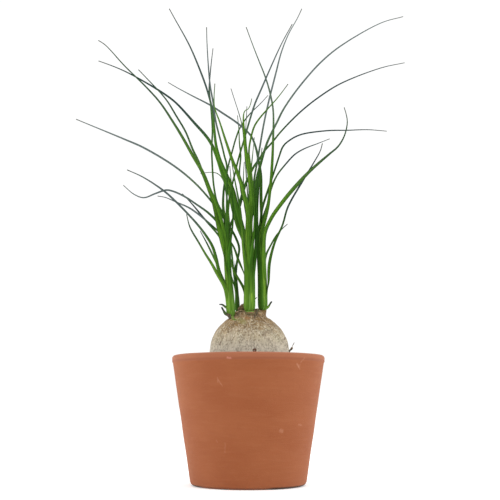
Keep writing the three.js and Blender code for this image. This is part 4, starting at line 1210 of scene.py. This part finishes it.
def add_core(form, shoot):
    """The young leaves rolled together inside a sheath, as a fluted rod."""
    foot_x, foot_y, foot_z = shoot["axis"][0]
    top = shoot["axis"][-1][2]
    line = np.concatenate([[(foot_x, foot_y, foot_z - PLUG_DEPTH)], shoot["line"]])
    points = []
    for x, y, z in line:
        point = 1 - CORE_POINT * smoothstep(z, lerp(foot_z, top, CORE_POINT_FROM), top)
        radius = rod_radius(shoot, z) * foot_share(shoot, z) * point
        for turn in turns(CORE_SIDES):
            flute = 1 - FLUTE_DEPTH * abs(math.sin(FLUTES * turn + z / 60))
            out_x, out_y = round_point(radius * flute, turn)
            points.append((x + out_x, y + out_y, z))
    form.add(
        points, capped(len(line), CORE_SIDES), tone=shoot.get("tone", 0.4), deep=shoot.get("deep", 0.0),
        across=[3 * math.cos(turn) for turn in turns(CORE_SIDES)] * len(line),
        rim=[math.sin(FLUTES * turn) for turn in turns(CORE_SIDES)] * len(line),
        along=[z - foot_z for _, _, z in line for _ in range(CORE_SIDES)],
        leaf=CORE_LEAF, under=0.3, share=0.1,
    )


def add_scales(form, shoot, seed):
    """Dry scales round the foot of a sheath."""
    chance = np.random.default_rng(seed)
    foot_x, foot_y, foot_z = shoot["axis"][0]
    width = shoot["radii"][0]
    size = SCALE_ROWS * SCALE_COLUMNS
    sheet = band(SCALE_ROWS, SCALE_COLUMNS, closed=False)
    # The corners round the sheet's edge
    rim = list(range(SCALE_COLUMNS))
    rim += range(2 * SCALE_COLUMNS - 1, size, SCALE_COLUMNS)
    rim += range(size - 2, size - SCALE_COLUMNS - 1, -1)
    rim += range(size - 2 * SCALE_COLUMNS, 0, -SCALE_COLUMNS)
    faces = [tuple(reversed(quad)) for quad in sheet] + [tuple(i + size for i in quad) for quad in sheet]
    faces += [(a, b, b + size, a + size) for a, b in zip(rim, [*rim[1:], rim[0]])]
    for number in range(SCALES):
        middle = 2 * math.pi * (number + chance.uniform(-0.2, 0.2)) / SCALES
        tall = chance.uniform(*SCALE_HEIGHTS) * width / 4
        spread = chance.uniform(*SCALE_SPREADS)
        points = []
        for layer in (0.0, SCALE_THICKNESS):
            for rise in np.linspace(0, 1, SCALE_ROWS):
                for u in np.linspace(-1, 1, SCALE_COLUMNS):
                    ragged = SCALE_RAGGED * noise.noise(Vector((u * 3, number, seed)))
                    z = foot_z - SCALE_SINK + (tall + ragged) * rise
                    swell = 0.2 + 0.35 * rise + 0.2 * (number % 2) + layer
                    angle = middle + u * spread * (1 - 0.55 * rise * rise)
                    x, y = round_point(width * foot_share(shoot, z) + swell, angle)
                    points.append((foot_x + x, foot_y + y, z))
        form.add(points, faces, dark=chance.uniform(0.0, 0.45))


def add_stub(form, radius, fresh, dark, path):
    add_rod(
        form, path, lambda s: radius * (1 - 0.6 * s), squash=0.6,
        dark=lambda s: dark, green=lambda s: fresh * (1 - smoothstep(s, 0.35, 0.85)),
    )


def make_shoots():
    leaf_green = leaf_material()
    for order, (name, shoot) in enumerate(SHOOTS.items()):
        form = Form("across", "rim", "along", "under", "share", "tone", "deep", "pale", "leaf")
        shoot["line"] = smooth_line(shoot["axis"], samples=24)
        heights = sorted(leaf["path"][0][1] for leaf in shoot["leaves"])
        add_core(form, shoot)
        for number, leaf in enumerate(shoot["leaves"]):
            rank = heights.index(leaf["path"][0][1]) / max(len(heights) - 1, 1)
            # Each leaf has a number of its own, far from the others, so that no two have the same streaks
            add_leaf(form, shoot, leaf, rank, 3 + 7 * number + 100 * order)
        slot = "leaf_dark" if name == "shoot_back" else "leaf"
        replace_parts(form.piece(name.replace("shoot", "leaves"), leaf_green, slot), name)
        dry = Form("dark", "green")
        add_scales(dry, shoot, SCALE_SEED + order)
        for stub in shoot["stubs"]:
            add_stub(dry, *stub)
        dry.piece(name.replace("shoot", "scales"), dry_leaf, slot)


# Stage, lights and camera
def make_stage():
    s = new_shader("floor_white", {
        "Base Color": (0.93, 0.93, 0.93, 1), "Roughness": 0.9, "Specular IOR Level": 0.1,
        "Emission Color": WHITE, "Emission Strength": FLOOR_GLOW,
    })
    mesh = bpy.data.meshes.new("floor")
    corners = [(-1, -1), (1, -1), (1, 1), (-1, 1)]
    mesh.from_pydata([(x * FLOOR_REACH, y * FLOOR_REACH, 0) for x, y in corners], [], [(0, 1, 2, 3)])
    mesh.materials.append(s.owner)
    add_object("floor", mesh)


# The world lights the back more than the front, and is plain white where the camera sees it
def make_world():
    s = Shader(bpy.data.worlds.new("studio"), {"Color": WHITE}, "Background")
    strength = s.step(s.apart(s.places["Generated"])["Y"], *WORLD_CHANGE, WORLD_FRONT, WORLD_BACK)
    seen = s.node("ShaderNodeLightPath").outputs["Is Camera Ray"]
    shown = s.node("ShaderNodeMix", {"Factor": seen, "A": strength, "B": WORLD_BACK})
    s.fill(s.surface, {"Strength": shown.outputs["Result"]})
    bpy.context.scene.world = s.owner


def make_lights():
    for name, place, width, height in SOFTBOXES:
        lamp = bpy.data.lights.new(name, "AREA")
        lamp.shape = "RECTANGLE"
        lamp.size = width
        lamp.size_y = height
        lamp.energy = SOFTBOX_POWER
        made = add_object(name, lamp)
        made.location = place
        made.rotation_euler = (Vector(SOFTBOX_TARGET) - Vector(place)).to_track_quat("-Z", "Y").to_euler()


def make_camera():
    camera = bpy.data.cameras.new("camera")
    camera.lens = CAMERA_LENS
    camera.sensor_width = CAMERA_SENSOR
    camera.clip_start = 0.05
    camera.clip_end = 100
    made = add_object("camera", camera)
    made.location = Vector(EYE) * MM
    made.rotation_euler = (math.pi / 2 + CAMERA_TILT, 0, 0)
    bpy.context.scene.camera = made


dry_leaf = dry_material()
make_camera()
make_world()
make_lights()
make_stage()
make_pot()
make_soil()
make_trunk()
make_rootlet()
make_fibres()
make_shoots()
bpy.context.scene.view_settings.view_transform = "Standard"
